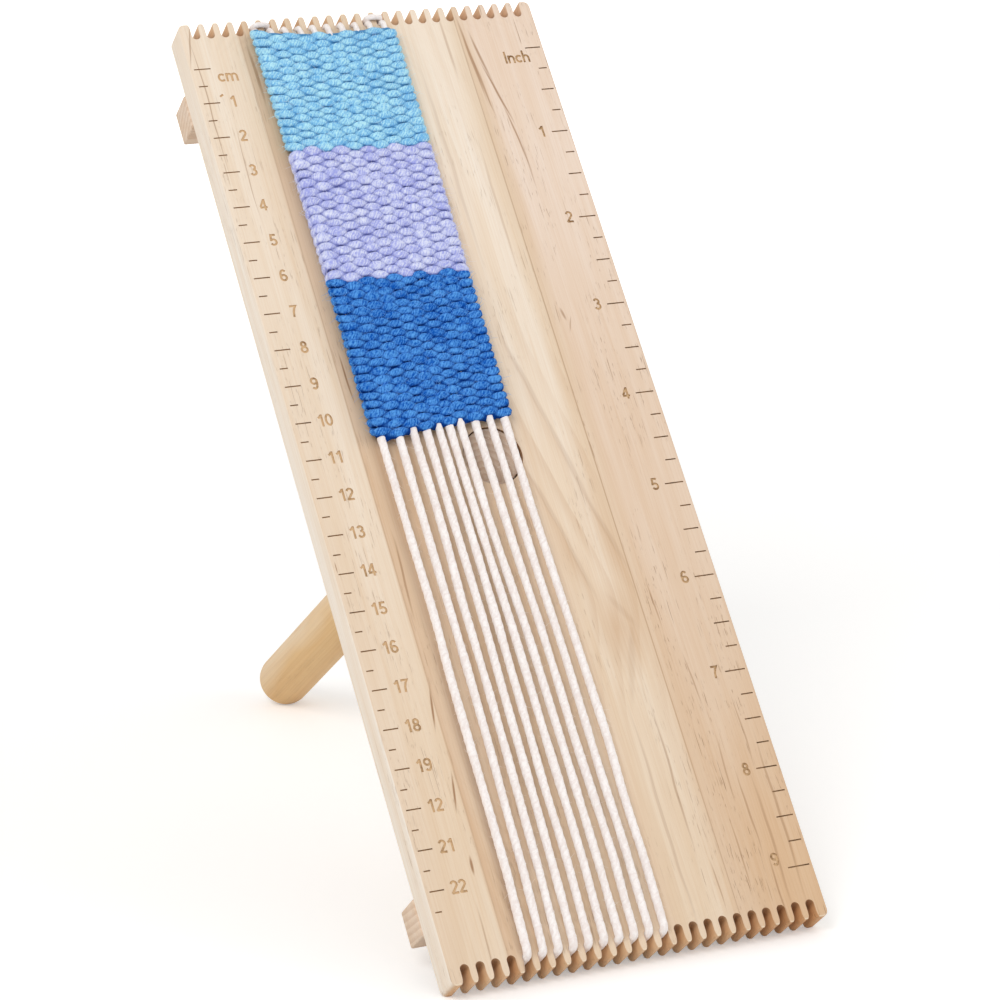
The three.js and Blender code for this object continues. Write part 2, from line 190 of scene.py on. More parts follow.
class Finish:
    """One material, with short calls for the nodes that it uses."""

    def __init__(self, name, roughness, **constants):
        self.material = bpy.data.materials.new(name)
        self.material.use_nodes = True
        self.tree = self.material.node_tree
        self.shader = self.tree.nodes["Principled BSDF"]
        self.shader.inputs["Roughness"].default_value = roughness
        for socket, value in constants.items():
            self.shader.inputs[socket.replace("_", " ")].default_value = value

    def feed(self, socket, value):
        if isinstance(value, bpy.types.NodeSocket):
            self.tree.links.new(value, socket)
        elif value is not None:
            socket.default_value = value

    def node(self, kind, inputs=(), **settings):
        made = self.tree.nodes.new("ShaderNode" + kind)
        for name, value in settings.items():
            setattr(made, name, value)
        for key, value in dict(inputs).items():
            self.feed(made.inputs[key], value)
        return made

    def math(self, operation, a, b=None, c=None):
        return self.node("Math", {0: a, 1: b, 2: c}, operation=operation).outputs[0]

    def between(self, value, low, high):
        """0 below low, 1 above high, smooth between. low may be above high."""
        inputs = {"Value": value, "From Min": low, "From Max": high}
        return self.node("MapRange", inputs, interpolation_type="SMOOTHSTEP").outputs[0]

    def mix(self, share, a, b, blend="MIX"):
        made = self.node("Mix", data_type="RGBA", blend_type=blend)
        self.feed(made.inputs[0], share)
        self.feed(made.inputs[6], a)
        self.feed(made.inputs[7], b)
        return made.outputs[2]

    def ramp(self, value, stops):
        made = self.node("ValToRGB", {0: value})
        points = made.color_ramp.elements
        while len(points) < len(stops):
            points.new(0.5)
        for point, (place, colour) in zip(points, sorted(stops, key=lambda stop: stop[0])):
            point.position = place
            point.color = colour
        return made.outputs[0]

    def join(self, x, y, z):
        return self.node("CombineXYZ", {0: x, 1: y, 2: z}).outputs[0]

    def stretch(self, vector, x, y, z, shift=0.0):
        inputs = {"Vector": vector, "Scale": (x, y, z), "Location": (shift, shift, shift)}
        return self.node("Mapping", inputs).outputs[0]

    def noise(self, vector, scale=1.0, detail=2.0, roughness=0.5):
        inputs = {"Vector": vector, "Scale": scale, "Detail": detail, "Roughness": roughness}
        return self.node("TexNoise", inputs).outputs[0]

    def upright(self):
        """The place on the upright loom in millimetres: x across, y front to back, z up."""
        turn = Matrix.Rotation(LEAN, 3, "X")
        inputs = {
            "Vector": self.node("TexCoord").outputs["Object"],
            "Location": -(turn @ STAND) / MM,
            "Rotation": (LEAN, 0, 0),
            "Scale": (1 / MM, 1 / MM, 1 / MM),
        }
        return self.node("Mapping", inputs).outputs[0]

    def split(self, vector):
        return self.node("SeparateXYZ", {0: vector}).outputs[0:3]

    def mark(self, place, x, z, half_width, half_length, tilt=0.0):
        """A soft spot on the board's face, 1 in its middle and 0 at its edge. tilt is in degrees."""
        inputs = {
            "Vector": place,
            "Location": (x, 0, z),
            "Rotation": (0, math.radians(tilt), 0),
            "Scale": (half_width, RIGHT_THROUGH, half_length),
        }
        moved = self.node("Mapping", inputs, vector_type="TEXTURE").outputs[0]
        return self.node("TexGradient", {0: moved}, gradient_type="SPHERICAL").outputs[1]

    def finish(self, colour, height=None, depth=0.1):
        self.feed(self.shader.inputs["Base Color"], colour)
        if height is not None:
            inputs = {"Height": height, "Distance": depth * MM, "Strength": 1.0}
            self.feed(self.shader.inputs["Normal"], self.node("Bump", inputs).outputs[0])
        return self.material


# %% Floor
FLOOR_SIZE = 12
GLOW_STARTS, GLOW_FULL = 0.25, 1.2
GLOW_NEAR, GLOW_RISE = 0.3, 0.5
floor_finish = Finish("studio_floor", 0.9)
rays = floor_finish.node("LightPath")
seen = floor_finish.math("MAXIMUM", rays.outputs["Is Camera Ray"], rays.outputs["Is Glossy Ray"])
seen = floor_finish.math("MAXIMUM", seen, rays.outputs["Is Transmission Ray"])
x, y, _ = floor_finish.split(floor_finish.node("TexCoord").outputs["Object"])
away = floor_finish.node("VectorMath", {0: floor_finish.join(x, y, 0.0)}, operation="LENGTH").outputs["Value"]
far = floor_finish.between(away, GLOW_STARTS, GLOW_FULL)
glow = floor_finish.math("MULTIPLY", seen, floor_finish.math("MULTIPLY_ADD", far, GLOW_RISE, GLOW_NEAR))
floor_finish.shader.inputs["Base Color"].default_value = (0.86, 0.86, 0.86, 1)
floor_finish.shader.inputs["Emission Color"].default_value = (1, 1, 1, 1)
floor_finish.feed(floor_finish.shader.inputs["Emission Strength"], glow)
bpy.ops.mesh.primitive_plane_add(size=FLOOR_SIZE, location=(0, 0, 0))
floor = bpy.context.object
floor.name = "studio_floor"
floor.data.materials.append(floor_finish.material)
print(f"floor: {FLOOR_SIZE} m square, pale near the loom and plain white away from it")


# %% [markdown]
# ## The board: a blank with two combs
# The real board was planed flat, sawn to length, and given a row of round-bottomed slots at each end. Here a
# cube primitive is the blank. Its corners and edges are bevelled in edit mode, and a Boolean takes the slots
# and the leg's hole out of it, as a cutter would. A Boolean was chosen over modelling the slots by hand
# because it leaves flat faces flat, and because the same cutter serves 48 times. The cutter is wider at its
# mouth, so that it also rounds the teeth on both sides.

# %% Board sizes
BOARD_WIDTH = 96.8 * MM
BOARD_LENGTH = 255.9 * MM
BOARD_THICKNESS = 8.6 * MM
CORNER_RADIUS = 1.6 * MM
RIM_BEVEL = 0.28 * MM
SLOT_PITCH = 3.85 * MM
SLOT_WIDTH = 2.2 * MM
SLOT_DEPTH = 4.6 * MM
SLOT_COUNT = 24
TOOTH_ROUNDING = 0.62 * MM
TOOTH_TAPER = 1.8 * MM
FRONT_ARRIS = 0.5 * MM
BACK_ARRIS = 0.6 * MM
BEYOND = 2 * MM
SMOOTH_BELOW = math.radians(32)
TOLERANCE = 1e-6


def slot_x(number):
    """The middle of a slot. Slots are counted from the left, from 1."""
    return (number - (SLOT_COUNT + 1) / 2) * SLOT_PITCH


def add_block(name, low, high):
    """A cube primitive between two corners."""
    low, high = Vector(low), Vector(high)
    bpy.ops.object.select_all(action="DESELECT")
    bpy.ops.mesh.primitive_cube_add(size=1, location=(low + high) / 2, scale=high - low)
    block = bpy.context.object
    block.name = name
    apply_place(block)
    return block


def bevel_edges(piece, chosen, offset, segments):
    """Bevel the edges for which chosen(first end, second end) is true."""
    only(piece)
    bpy.ops.object.mode_set(mode="EDIT")
    bpy.ops.mesh.select_mode(type="EDGE")
    bpy.ops.mesh.select_all(action="DESELECT")
    mesh = bmesh.from_edit_mesh(piece.data)
    count = 0
    for edge in mesh.edges:
        if chosen(edge.verts[0].co, edge.verts[1].co):
            edge.select_set(True)
            count += 1
    bmesh.update_edit_mesh(piece.data)
    bpy.ops.mesh.bevel(offset=offset, segments=segments, affect="EDGES", clamp_overlap=True)
    bpy.ops.object.mode_set(mode="OBJECT")
    return count


def along_y(a, b):
    """True for an edge that runs straight from front to back."""
    return abs(a.x - b.x) < TOLERANCE and abs(a.z - b.z) < TOLERANCE


def all_at(axis, place):
    """A test for edges that lie at one place on an axis."""
    return lambda a, b: abs(a[axis] - place) < TOLERANCE and abs(b[axis] - place) < TOLERANCE


# %% Blank
board = add_block("loom_board", (-BOARD_WIDTH / 2, 0, 0), (BOARD_WIDTH / 2, BOARD_THICKNESS, BOARD_LENGTH))
count = bevel_edges(board, along_y, CORNER_RADIUS, 5)
bevel_edges(board, all_at(1, 0), FRONT_ARRIS, 3)
bevel_edges(board, all_at(1, BOARD_THICKNESS), BACK_ARRIS, 1)
print(f"blank: {count} corners rounded, both arrises taken off")

# %% Slot cutters
cutter = add_block(
    "slot_cutter",
    (-SLOT_WIDTH / 2, -BEYOND, -SLOT_DEPTH),
    (SLOT_WIDTH / 2, BOARD_THICKNESS + BEYOND, -TOOTH_TAPER),
)
SLOT_BOTTOM_RADIUS = SLOT_WIDTH / 2 * 0.999
MOUTH_STEPS = 5
bevel_edges(cutter, lambda a, b: along_y(a, b) and a.z < -SLOT_DEPTH / 2, SLOT_BOTTOM_RADIUS, 8)


def grow_tip(piece, rises, widths, axes):
    """Extrude a piece's top face step by step, scaled at each step to a width along the given axes."""
    only(piece)
    bpy.ops.object.mode_set(mode="EDIT")
    bpy.ops.mesh.select_mode(type="FACE")
    bpy.ops.mesh.select_all(action="DESELECT")
    mesh = bmesh.from_edit_mesh(piece.data)
    for face in mesh.faces:
        face.select_set(face.normal.z > 0.9)
    bmesh.update_edit_mesh(piece.data)
    for i, rise in enumerate(rises):
        bpy.ops.mesh.extrude_region_move(TRANSFORM_OT_translate={"value": (0, 0, rise)})
        ratio = widths[i + 1] / widths[i]
        bpy.ops.transform.resize(value=[ratio if along_axis else 1 for along_axis in axes])
    bpy.ops.object.mode_set(mode="OBJECT")


turns = [math.pi / 2 * step / MOUTH_STEPS for step in range(MOUTH_STEPS + 1)]
rises = [TOOTH_TAPER * (math.sin(b) - math.sin(a)) for a, b in zip(turns, turns[1:])]
widths = [SLOT_WIDTH / 2 + TOOTH_ROUNDING * (1 - math.cos(turn)) for turn in turns]
grow_tip(cutter, rises + [BEYOND], widths + widths[-1:], (True, False, False))


def copy_of(piece, name):
    copy = piece.copy()
    copy.data = piece.data.copy()
    copy.name = name
    scene.collection.objects.link(copy)
    return copy


def joined(pieces, name):
    only(*pieces)
    bpy.ops.object.join()
    whole = bpy.context.object
    whole.name = name
    return whole


saws = []
for number in range(1, SLOT_COUNT + 1):
    for end, turn in ((BOARD_LENGTH, 0), (0, math.pi)):
        saw = copy_of(cutter, "saw")
        saw.location = (slot_x(number), 0, end)
        saw.rotation_euler = (0, turn, 0)
        apply_place(saw)
        saws.append(saw)
saws = joined(saws, "saws")
bpy.data.objects.remove(cutter)
print(f"saw: {SLOT_COUNT * 2} cuts")

# %% Leg sizes and the leg's hole
LEG_RADIUS = 7.4 * MM
LEG_LENGTH = 184 * MM
LEG_RISE = math.radians(5.8)
LEG_TIP = 5 * MM
LEG_CLEARANCE = 0.3 * MM


def onto_leg_line(piece):
    """Turn something modelled along +Z onto the leg's line, which starts in the middle of the face."""
    apply_place(piece)
    piece.rotation_euler = (-math.pi / 2 + LEG_RISE, 0, 0)
    piece.location = (0, 0, BOARD_LENGTH / 2)
    apply_place(piece)


bpy.ops.object.select_all(action="DESELECT")
bpy.ops.mesh.primitive_cylinder_add(
    vertices=64, radius=LEG_RADIUS + LEG_CLEARANCE, depth=BOARD_THICKNESS * 3,
    location=(0, 0, BOARD_THICKNESS / 2),
)
drill = bpy.context.object
onto_leg_line(drill)
for tool in (saws, drill):
    apply_modifier(board, "BOOLEAN", object=tool, operation="DIFFERENCE", solver="EXACT")
    bpy.data.objects.remove(tool)
report(board)


# %% [markdown]
# ## Soft rims
# Every edge that the saw left sharp was sanded. One Bevel modifier, limited to sharp angles, takes off all
# the rims of the slots and of the leg's hole at once.

# %% Rims
apply_modifier(
    board, "BEVEL", width=RIM_BEVEL, segments=2, limit_method="ANGLE", angle_limit=math.radians(60),
    use_clamp_overlap=True, miter_outer="MITER_ARC",
)
report(board)

# %% [markdown]
# ## The burnt rulers
# A laser burnt the tick marks and the figures a few tenths of a millimetre into the face. The figures are
# plain strokes of one width, so each is drawn here from short lines and arcs, given a width, and cut into the
# board. Cutting them gives real edges that catch the light, where paint would lie flat.


# %% Figures as strokes
def arc(x, y, rx, ry, start, end, steps=12):
    turns = [math.radians(start + (end - start) * i / steps) for i in range(steps + 1)]
    return [(x + rx * math.cos(a), y + ry * math.sin(a)) for a in turns]


def ring(x, y, rx, ry):
    return arc(x, y, rx, ry, 0, 360, 20)


SIX = [ring(0.31, 0.30, 0.22, 0.225), arc(0.33, 0.50, 0.24, 0.425, 48, 187, 12) + [(0.09, 0.33)]]
FIGURES = {
    "0": (0.62, [ring(0.31, 0.5, 0.22, 0.425)]),
    "1": (0.62, [[(0.13, 0.72), (0.26, 0.79), (0.37, 0.93)], [(0.40, 0), (0.40, 1.0)]]),
    "2": (0.62, [arc(0.31, 0.70, 0.21, 0.225, 165, -35) + [(0.10, 0.10), (0.12, 0.075), (0.56, 0.075)]]),
    "3": (0.62, [arc(0.30, 0.73, 0.19, 0.195, 160, -95), arc(0.30, 0.305, 0.22, 0.23, 95, -160)]),
    "4": (0.64, [[(0.42, 0.95), (0.06, 0.32)], [(0.03, 0.27), (0.62, 0.27)], [(0.43, 0), (0.43, 0.99)]]),
    "5": (0.62, [[(0.54, 0.925), (0.18, 0.925), (0.125, 0.50)] + arc(0.30, 0.31, 0.225, 0.235, 128, -155)]),
    "6": (0.62, SIX),
    "7": (0.60, [[(0.05, 0.925), (0.53, 0.925), (0.40, 0.72), (0.29, 0.42), (0.24, 0)]]),
    "8": (0.62, [ring(0.31, 0.735, 0.175, 0.19), ring(0.31, 0.29, 0.22, 0.215)]),
    "9": (0.62, [[(0.62 - x, 1 - y) for x, y in line] for line in SIX]),
    "c": (0.56, [arc(0.30, 0.33, 0.215, 0.255, 40, 320)]),
    "m": (0.92, [
        [(0.10, 0), (0.10, 0.66)],
        arc(0.285, 0.40, 0.175, 0.185, 170, 0, 8) + [(0.46, 0)],
        arc(0.645, 0.40, 0.175, 0.185, 180, 0, 8) + [(0.82, 0)],
    ]),
    "I": (0.28, [[(0.14, 0), (0.14, 1.0)]]),
    "n": (0.60, [[(0.10, 0), (0.10, 0.66)], arc(0.30, 0.39, 0.19, 0.195, 170, 0, 8) + [(0.49, 0)]]),
    "h": (0.60, [[(0.10, 0), (0.10, 1.0)], arc(0.30, 0.39, 0.19, 0.195, 170, 0, 8) + [(0.49, 0)]]),
}


def text_width(text):
    return sum(FIGURES[letter][0] for letter in text)


def text_strokes(text, x, z, size):
    """The strokes of a word centred on x and z. size is the height of a figure."""
    left = x - text_width(text) * size / 2
    strokes = []
    for letter in text:
        advance, lines = FIGURES[letter]
        for line in lines:
            strokes.append([(left + px * size, z + (pz - 0.5) * size) for px, pz in line])
        left += advance * size
    return strokes


print(f"figures: {len(FIGURES)} signs drawn")

# %% Strokes as cutters
BURN_DEPTH = 0.22 * MM
BURN_PROUD = 0.5 * MM


def stroke_outline(line, width):
    """The two sides of a stroke, mitred where it turns."""
    points = [Vector(p) for p in line]
    closed = (points[0] - points[-1]).length < 1e-9
    if closed:
        points = points[:-1]
    count = len(points)
    left, right = [], []
    for i, point in enumerate(points):
        before = points[i - 1] if (i > 0 or closed) else None
        after = points[(i + 1) % count] if (i < count - 1 or closed) else None
        arriving = (point - before).normalized() if before is not None else (after - point).normalized()
        leaving = (after - point).normalized() if after is not None else arriving
        normal_in = Vector((-arriving.y, arriving.x))
        normal_out = Vector((-leaving.y, leaving.x))
        mitre = normal_in + normal_out
        mitre = mitre / max(mitre.dot(normal_in), 0.5)
        left.append(point + mitre * width / 2)
        right.append(point - mitre * width / 2)
    return left, right, closed


def stroke_cutter(name, strokes, width):
    """Solid strips that follow strokes in millimetres, from in front of the face to the burn's bottom."""
    verts, faces = [], []
    for line in strokes:
        left, right, closed = stroke_outline([(x * MM, z * MM) for x, z in line], width * MM)
        count = len(left)
        base = len(verts)
        top, bottom = -BURN_PROUD, BURN_DEPTH
        for side, depth in ((left, top), (right, top), (right, bottom), (left, bottom)):
            verts.extend((p.x, depth, p.y) for p in side)
        spans = count if closed else count - 1
        for i in range(spans):
            j = (i + 1) % count
            for k in range(4):
                a, b = base + k * count, base + (k + 1) % 4 * count
                faces.append((a + i, b + i, b + j, a + j))
        if not closed:
            faces.append(tuple(base + k * count for k in reversed(range(4))))
            faces.append(tuple(base + k * count + count - 1 for k in range(4)))
    mesh = bpy.data.meshes.new(name)
    mesh.from_pydata(verts, [], faces)
    mesh.validate()
    cutter = bpy.data.objects.new(name, mesh)
    scene.collection.objects.link(cutter)
    only(cutter)
    bpy.ops.object.mode_set(mode="EDIT")
    bpy.ops.mesh.select_all(action="SELECT")
    bpy.ops.mesh.normals_make_consistent(inside=False)
    bpy.ops.object.mode_set(mode="OBJECT")
    print(f"{name}: {len(strokes)} strokes, {len(mesh.polygons)} faces")
    return cutter


# %% Ruler sizes
CM_ZERO = 242.5
CM_COUNT = 22
CM_EDGE = -47.35
CM_TICKS = ((-43.0, -43.8), (-45.0, -45.8))
CM_FIGURES = (-39.45, -40.2)
CM_FIGURE_RISE = 0.15
INCH = 25.4
INCH_ZERO = 241.64
INCH_COUNT = 9
INCH_EDGE = 47.45
INCH_TICKS = ((43.2, 41.7), (45.2, 44.0), (44.1, 42.9), (45.2, 44.0))
INCH_FIGURES = (40.5, 39.0)
INCH_FIGURE_RISE = 0.3
LAST_INCH_RISE = 2.6
UNITS = (("cm", -39.1, 240.3, 3.7), ("Inch", 40.0, 239.2, 3.6))
STRAY_MARK = [(-42.6, 234.2), (-41.7, 234.8)]
TICK_WIDTH = 0.34
FIGURE_SIZE = 3.25
FIGURE_STROKE = 0.17 * FIGURE_SIZE


def drift(z, at_top, at_bottom):
    """The rulers were burnt a hair off square, so that a column's x changes evenly from top to bottom."""
    return at_top + (at_bottom - at_top) * (CM_ZERO - z) / CM_ZERO


# %% Ticks
ticks = []
for half in range(CM_COUNT * 2 + 2):
    z = CM_ZERO - half * 5
    ticks.append([(CM_EDGE, z), (drift(z, *CM_TICKS[half % 2]), z)])
for quarter in range(INCH_COUNT * 4 + 1):
    z = INCH_ZERO - quarter * INCH / 4
    ticks.append([(drift(z, *INCH_TICKS[quarter % 4]), z), (INCH_EDGE, z)])
tick_cutter = stroke_cutter("tick_cutter", ticks, TICK_WIDTH)

# %% Figures
figures = [STRAY_MARK]
cm_labels = {number: str(number) for number in range(1, CM_COUNT + 1)}
cm_labels[20] = "12"
for number, label in cm_labels.items():
    z = CM_ZERO - 10 * number
    figures += text_strokes(label, drift(z, *CM_FIGURES), z + CM_FIGURE_RISE, FIGURE_SIZE)
for number in range(1, INCH_COUNT + 1):
    rise = LAST_INCH_RISE if number == INCH_COUNT else INCH_FIGURE_RISE
    z = INCH_ZERO - INCH * number + rise
    figures += text_strokes(str(number), drift(z, *INCH_FIGURES), z, FIGURE_SIZE)
for unit in UNITS:
    figures += text_strokes(*unit)
figure_cutter = stroke_cutter("figure_cutter", figures, FIGURE_STROKE)

# %% [markdown]
# ## Pine
# The board was glued up from three staves of pale pine, so the growth rings stop at two straight lines. Pine
# shows a soft ring pattern, long fine fibres and short dark resin canals. All of it is drawn on the upright
# loom's own millimetres, so that a ring lies where the real one does. The ground tone goes from heartwood to
# sapwood. The middle stave has a pale band, the right one is rosy, and the foot of the board is darker.

# %% Wood grain
CANAL_BROWN = srgb(166, 130, 96)


def fibres(finish, grain, tone, dashes=0.5):
    """Long fibres and resin canals on any pine. grain has x and y across the grain and z along it."""
    fine = finish.noise(finish.stretch(grain, 2.6, 2.6, 0.035), detail=3.0, roughness=0.6)
    broad = finish.noise(finish.stretch(grain, 0.22, 0.22, 0.012, 7.0), detail=2.0)
    long_canals = finish.noise(finish.stretch(grain, 3.0, 3.0, 0.11, 3.0), detail=1.0)
    short_canals = finish.noise(finish.stretch(grain, 4.2, 4.2, 0.32, 17.0), detail=1.0)
    where = finish.noise(finish.stretch(grain, 0.11, 0.11, 0.03, 11.0), detail=1.0)
    long_canals = finish.between(long_canals, 0.655, 0.72)
    short_canals = finish.between(short_canals, 0.67, 0.74)
    dash = finish.math("MAXIMUM", long_canals, short_canals)
    dash = finish.math("MULTIPLY", dash, finish.between(where, 0.4, 0.6))
    share = finish.between(broad, 0.3, 0.7)
    colour = finish.mix(share, tone, finish.mix(1.0, tone, srgb(249, 243, 235), "MULTIPLY"))
    share = finish.math("MULTIPLY", finish.between(fine, 0.35, 0.75), 0.4)
    colour = finish.mix(share, colour, finish.mix(1.0, colour, srgb(240, 226, 208), "MULTIPLY"))
    share = finish.math("MULTIPLY", dash, dashes)
    colour = finish.mix(share, colour, CANAL_BROWN)
    height = finish.math("SUBTRACT", finish.math("MULTIPLY", fine, 0.5), dash)
    return colour, height


# %% Pine tones
HEARTWOOD, PLAIN_PINE, SAPWOOD = (217, 188, 159), (231, 212, 189), (245, 233, 219)


def pine_tone(paleness):
    """A tone of pine: heartwood at 0, plain pine at 0.5, sapwood at 1, and even steps between."""
    tone = [np.interp(paleness, (0, 0.5, 1), steps) for steps in zip(HEARTWOOD, PLAIN_PINE, SAPWOOD)]
    return srgb(*tone)


# %% Tones across the board
ROSY_PINE = srgb(236, 217, 201)
TOP_TONES = [(at_x, pine_tone(paleness)) for at_x, paleness in (
    (-38, 0.8), (-33.6, 0.7), (-33.1, 0.15), (-30, 0.35), (-10, 0.5), (6, 0.6), (13, 0.9), (17, 1.0),
    (21, 0.9), (25.6, 0.6), (26.2, 0.35),
)]
TOP_TONES.append((30, ROSY_PINE))
LOW_TONES = [(at_x, pine_tone(paleness)) for at_x, paleness in (
    (-48.4, 0.3), (-38, 0.6), (-33.6, 0.5), (-33.1, 0.0), (-30, 0.35), (-10, 0.5), (5, 0.55), (8, 0.3),
    (12, 0.5), (21, 0.5), (25.6, 0.3), (26.2, 0.15),
)]
RING_LINE = [
    (0, 18.5), (50, 18.5), (60, 19.5), (75, 23.5), (85, 26), (95, 25.6), (113, 20.7), (133, 17.1),
    (157, 12.1), (200, 10), (250, 9),
]
SWIRLS = [(18.5, 79, 7.5, 14, 0, 0.5), (12.5, 97, 4, 14, -12, 0.2), (23.5, 96, 7, 36, -6, 0.3)]
STREAKS = [
    (27.6, 240, 0.5, 16, -3, 0.7), (28.4, 233, 0.4, 14, -4, 0.6), (30.2, 240, 0.5, 10, -8, 0.7),
    (31.6, 229, 0.4, 12, -11, 0.8), (33.0, 216, 0.35, 12, -6, 0.7), (33.8, 207, 0.3, 9, 0, 0.45),
    (22.3, 244, 0.5, 13, 0, 0.35), (21.7, 195, 0.5, 24, 0, 0.25), (20.2, 40, 0.45, 24, 1, 0.5),
    (14.6, 30, 0.6, 36, 0, 0.3), (-46.2, 232, 0.25, 26, -1, 0.55), (-41.0, 212, 0.22, 17, 1, 0.5),
    (-46.6, 250, 0.3, 9, 14, 0.6), (-34.1, 66, 0.4, 7, 8, 0.9), (-34.6, 45, 0.4, 6, 8, 0.9),
    (-35.6, 27, 0.5, 3, 6, 0.9), (-31.6, 100, 0.4, 14, 1, 0.6), (-31.4, 153, 0.35, 9, -3, 0.8),
    (12.6, 210, 0.8, 40, 0, 0.2), (-31.8, 240, 0.6, 12, -2, 0.6), (40, 20, 0.5, 22, 0, 0.45),
    (36.5, 28, 0.35, 14, 0, 0.5), (44, 26, 0.5, 26, 0, 0.5), (34, 40, 0.35, 10, 0, 0.45),
    (20.6, 83.5, 1.2, 7, -31, 0.15), (19.3, 70, 1.3, 15, 18, 0.15), (30.3, 164, 0.5, 2.4, -12, 0.6),
    (31.4, 161, 0.25, 3, 20, 0.5), (-47.2, 104.3, 0.2, 2, 0, 0.8), (29.4, 84, 0.3, 8, -4, 0.5),
    (33.2, 63, 0.3, 9, -2, 0.5), (41.5, 48, 0.3, 12, 0, 0.45), (37.8, 8, 0.35, 12, 0, 0.55),
    (31.0, 18, 0.3, 12, 0, 0.45), (-37.5, 8, 0.3, 12, 0, 0.4), (22.8, 12, 0.3, 8, -1, 0.5),
    (14.6, 145, 1.0, 20, -11.6, 0.22), (18.9, 123, 1.0, 17, -10.2, 0.22), (23.0, 104, 1.0, 15, -14, 0.2),
    (10.0, 113, 0.9, 14, -13.8, 0.2), (13.5, 96.8, 0.9, 13, -10.5, 0.18),
]


def across_board(finish, x, tones):
    """The board's tone from its left edge to its right one."""
    share = finish.math("MULTIPLY_ADD", x, MM / BOARD_WIDTH, 0.5)
    return finish.ramp(share, [(at_x * MM / BOARD_WIDTH + 0.5, tone) for at_x, tone in tones])


# %% [markdown]
# ## What the staves show
# The middle stave was cut near the bark, so its rings are broad and swirl once below the middle. A ramp along
# the board gives the line that they lie round, and a fraction of the distance from it makes the rings. Spots
# and streaks that can be told apart in the picture are placed one by one.

# %% Rings of the middle stave
RING_LINE_WIDTH = 40
RING_SPACING = 5.5
LEFT_JOINT, RIGHT_JOINT = -33.15, 25.95
RING_BROWN = srgb(196, 156, 114)
SWIRL_BROWN = srgb(200, 160, 118)


def ring_middle(finish, z):
    """The x round which the middle stave's rings lie, which wanders with the height as on the real board."""
    reach = BOARD_LENGTH / MM
    line = finish.node("ValToRGB", {0: finish.math("MULTIPLY", z, 1 / reach)})
    line.color_ramp.interpolation = "B_SPLINE"
    while len(line.color_ramp.elements) < len(RING_LINE):
        line.color_ramp.elements.new(0.5)
    for point, (at_z, at_x) in zip(line.color_ramp.elements, RING_LINE):
        level = at_x / RING_LINE_WIDTH
        point.position = at_z / reach
        point.color = (level, level, level, 1)
    return finish.math("MULTIPLY", line.outputs[0], RING_LINE_WIDTH)


def middle_stave(finish, colour, place, swayed):
    """The broad rings and the swirls of the middle stave."""
    x, _, z = finish.split(place)
    sway_x = finish.split(swayed)[0]
    middle = finish.between(x, LEFT_JOINT - 0.05, LEFT_JOINT + 0.15)
    middle = finish.math("MULTIPLY", middle, finish.between(x, RIGHT_JOINT, RIGHT_JOINT - 0.1))
    rings = finish.math("SUBTRACT", sway_x, ring_middle(finish, z))
    rings = finish.math("FRACT", finish.math("MULTIPLY", rings, 1 / RING_SPACING))
    rings = finish.math("MULTIPLY", finish.between(rings, 0.15, 0.93), finish.between(rings, 1.0, 0.95))
    rings = finish.math("POWER", rings, 2.0)
    swirl = finish.mark(place, 16, 108, 17, 68)
    patchy = finish.noise(finish.stretch(place, 0.12, 0.0, 0.02, 5.0), detail=1.0)
    share = finish.math("MULTIPLY", rings, finish.math("MULTIPLY_ADD", swirl, 0.26, 0.08))
    share = finish.math("MULTIPLY", share, finish.between(patchy, 0.3, 0.6))
    colour = finish.mix(finish.math("MULTIPLY", share, middle), colour, RING_BROWN)
    for *spot, strength in SWIRLS:
        share = finish.math("MULTIPLY", finish.mark(swayed, *spot), middle)
        colour = finish.mix(finish.math("MULTIPLY", share, strength), colour, SWIRL_BROWN)
    return colour


# %% Joints and streaks
JOINT_BROWN = srgb(172, 134, 98)
STREAK_BROWN = srgb(160, 120, 84)
JOINT_HALF_WIDTH = 0.27


def joints_and_streaks(finish, colour, place, swayed):
    """The two glue lines and the single resin streaks that can be told apart."""
    for at_x, strength in ((RIGHT_JOINT, 0.68), (LEFT_JOINT, 0.45)):
        joint = finish.mark(place, at_x, 128, JOINT_HALF_WIDTH, 300)
        colour = finish.mix(finish.math("MULTIPLY", joint, strength), colour, JOINT_BROWN)
    for *spot, strength in STREAKS:
        share = finish.math("MULTIPLY", finish.between(finish.mark(swayed, *spot), 0, 0.7), strength)
        colour = finish.mix(share, colour, STREAK_BROWN)
    return colour


# %% Sawn ends
END_GRAIN = srgb(250, 228, 202)
PAINTED_RIM_HIGHLIGHT = srgb(252, 234, 208)
PAINTED_SLOT_SHADE = srgb(132, 90, 56)


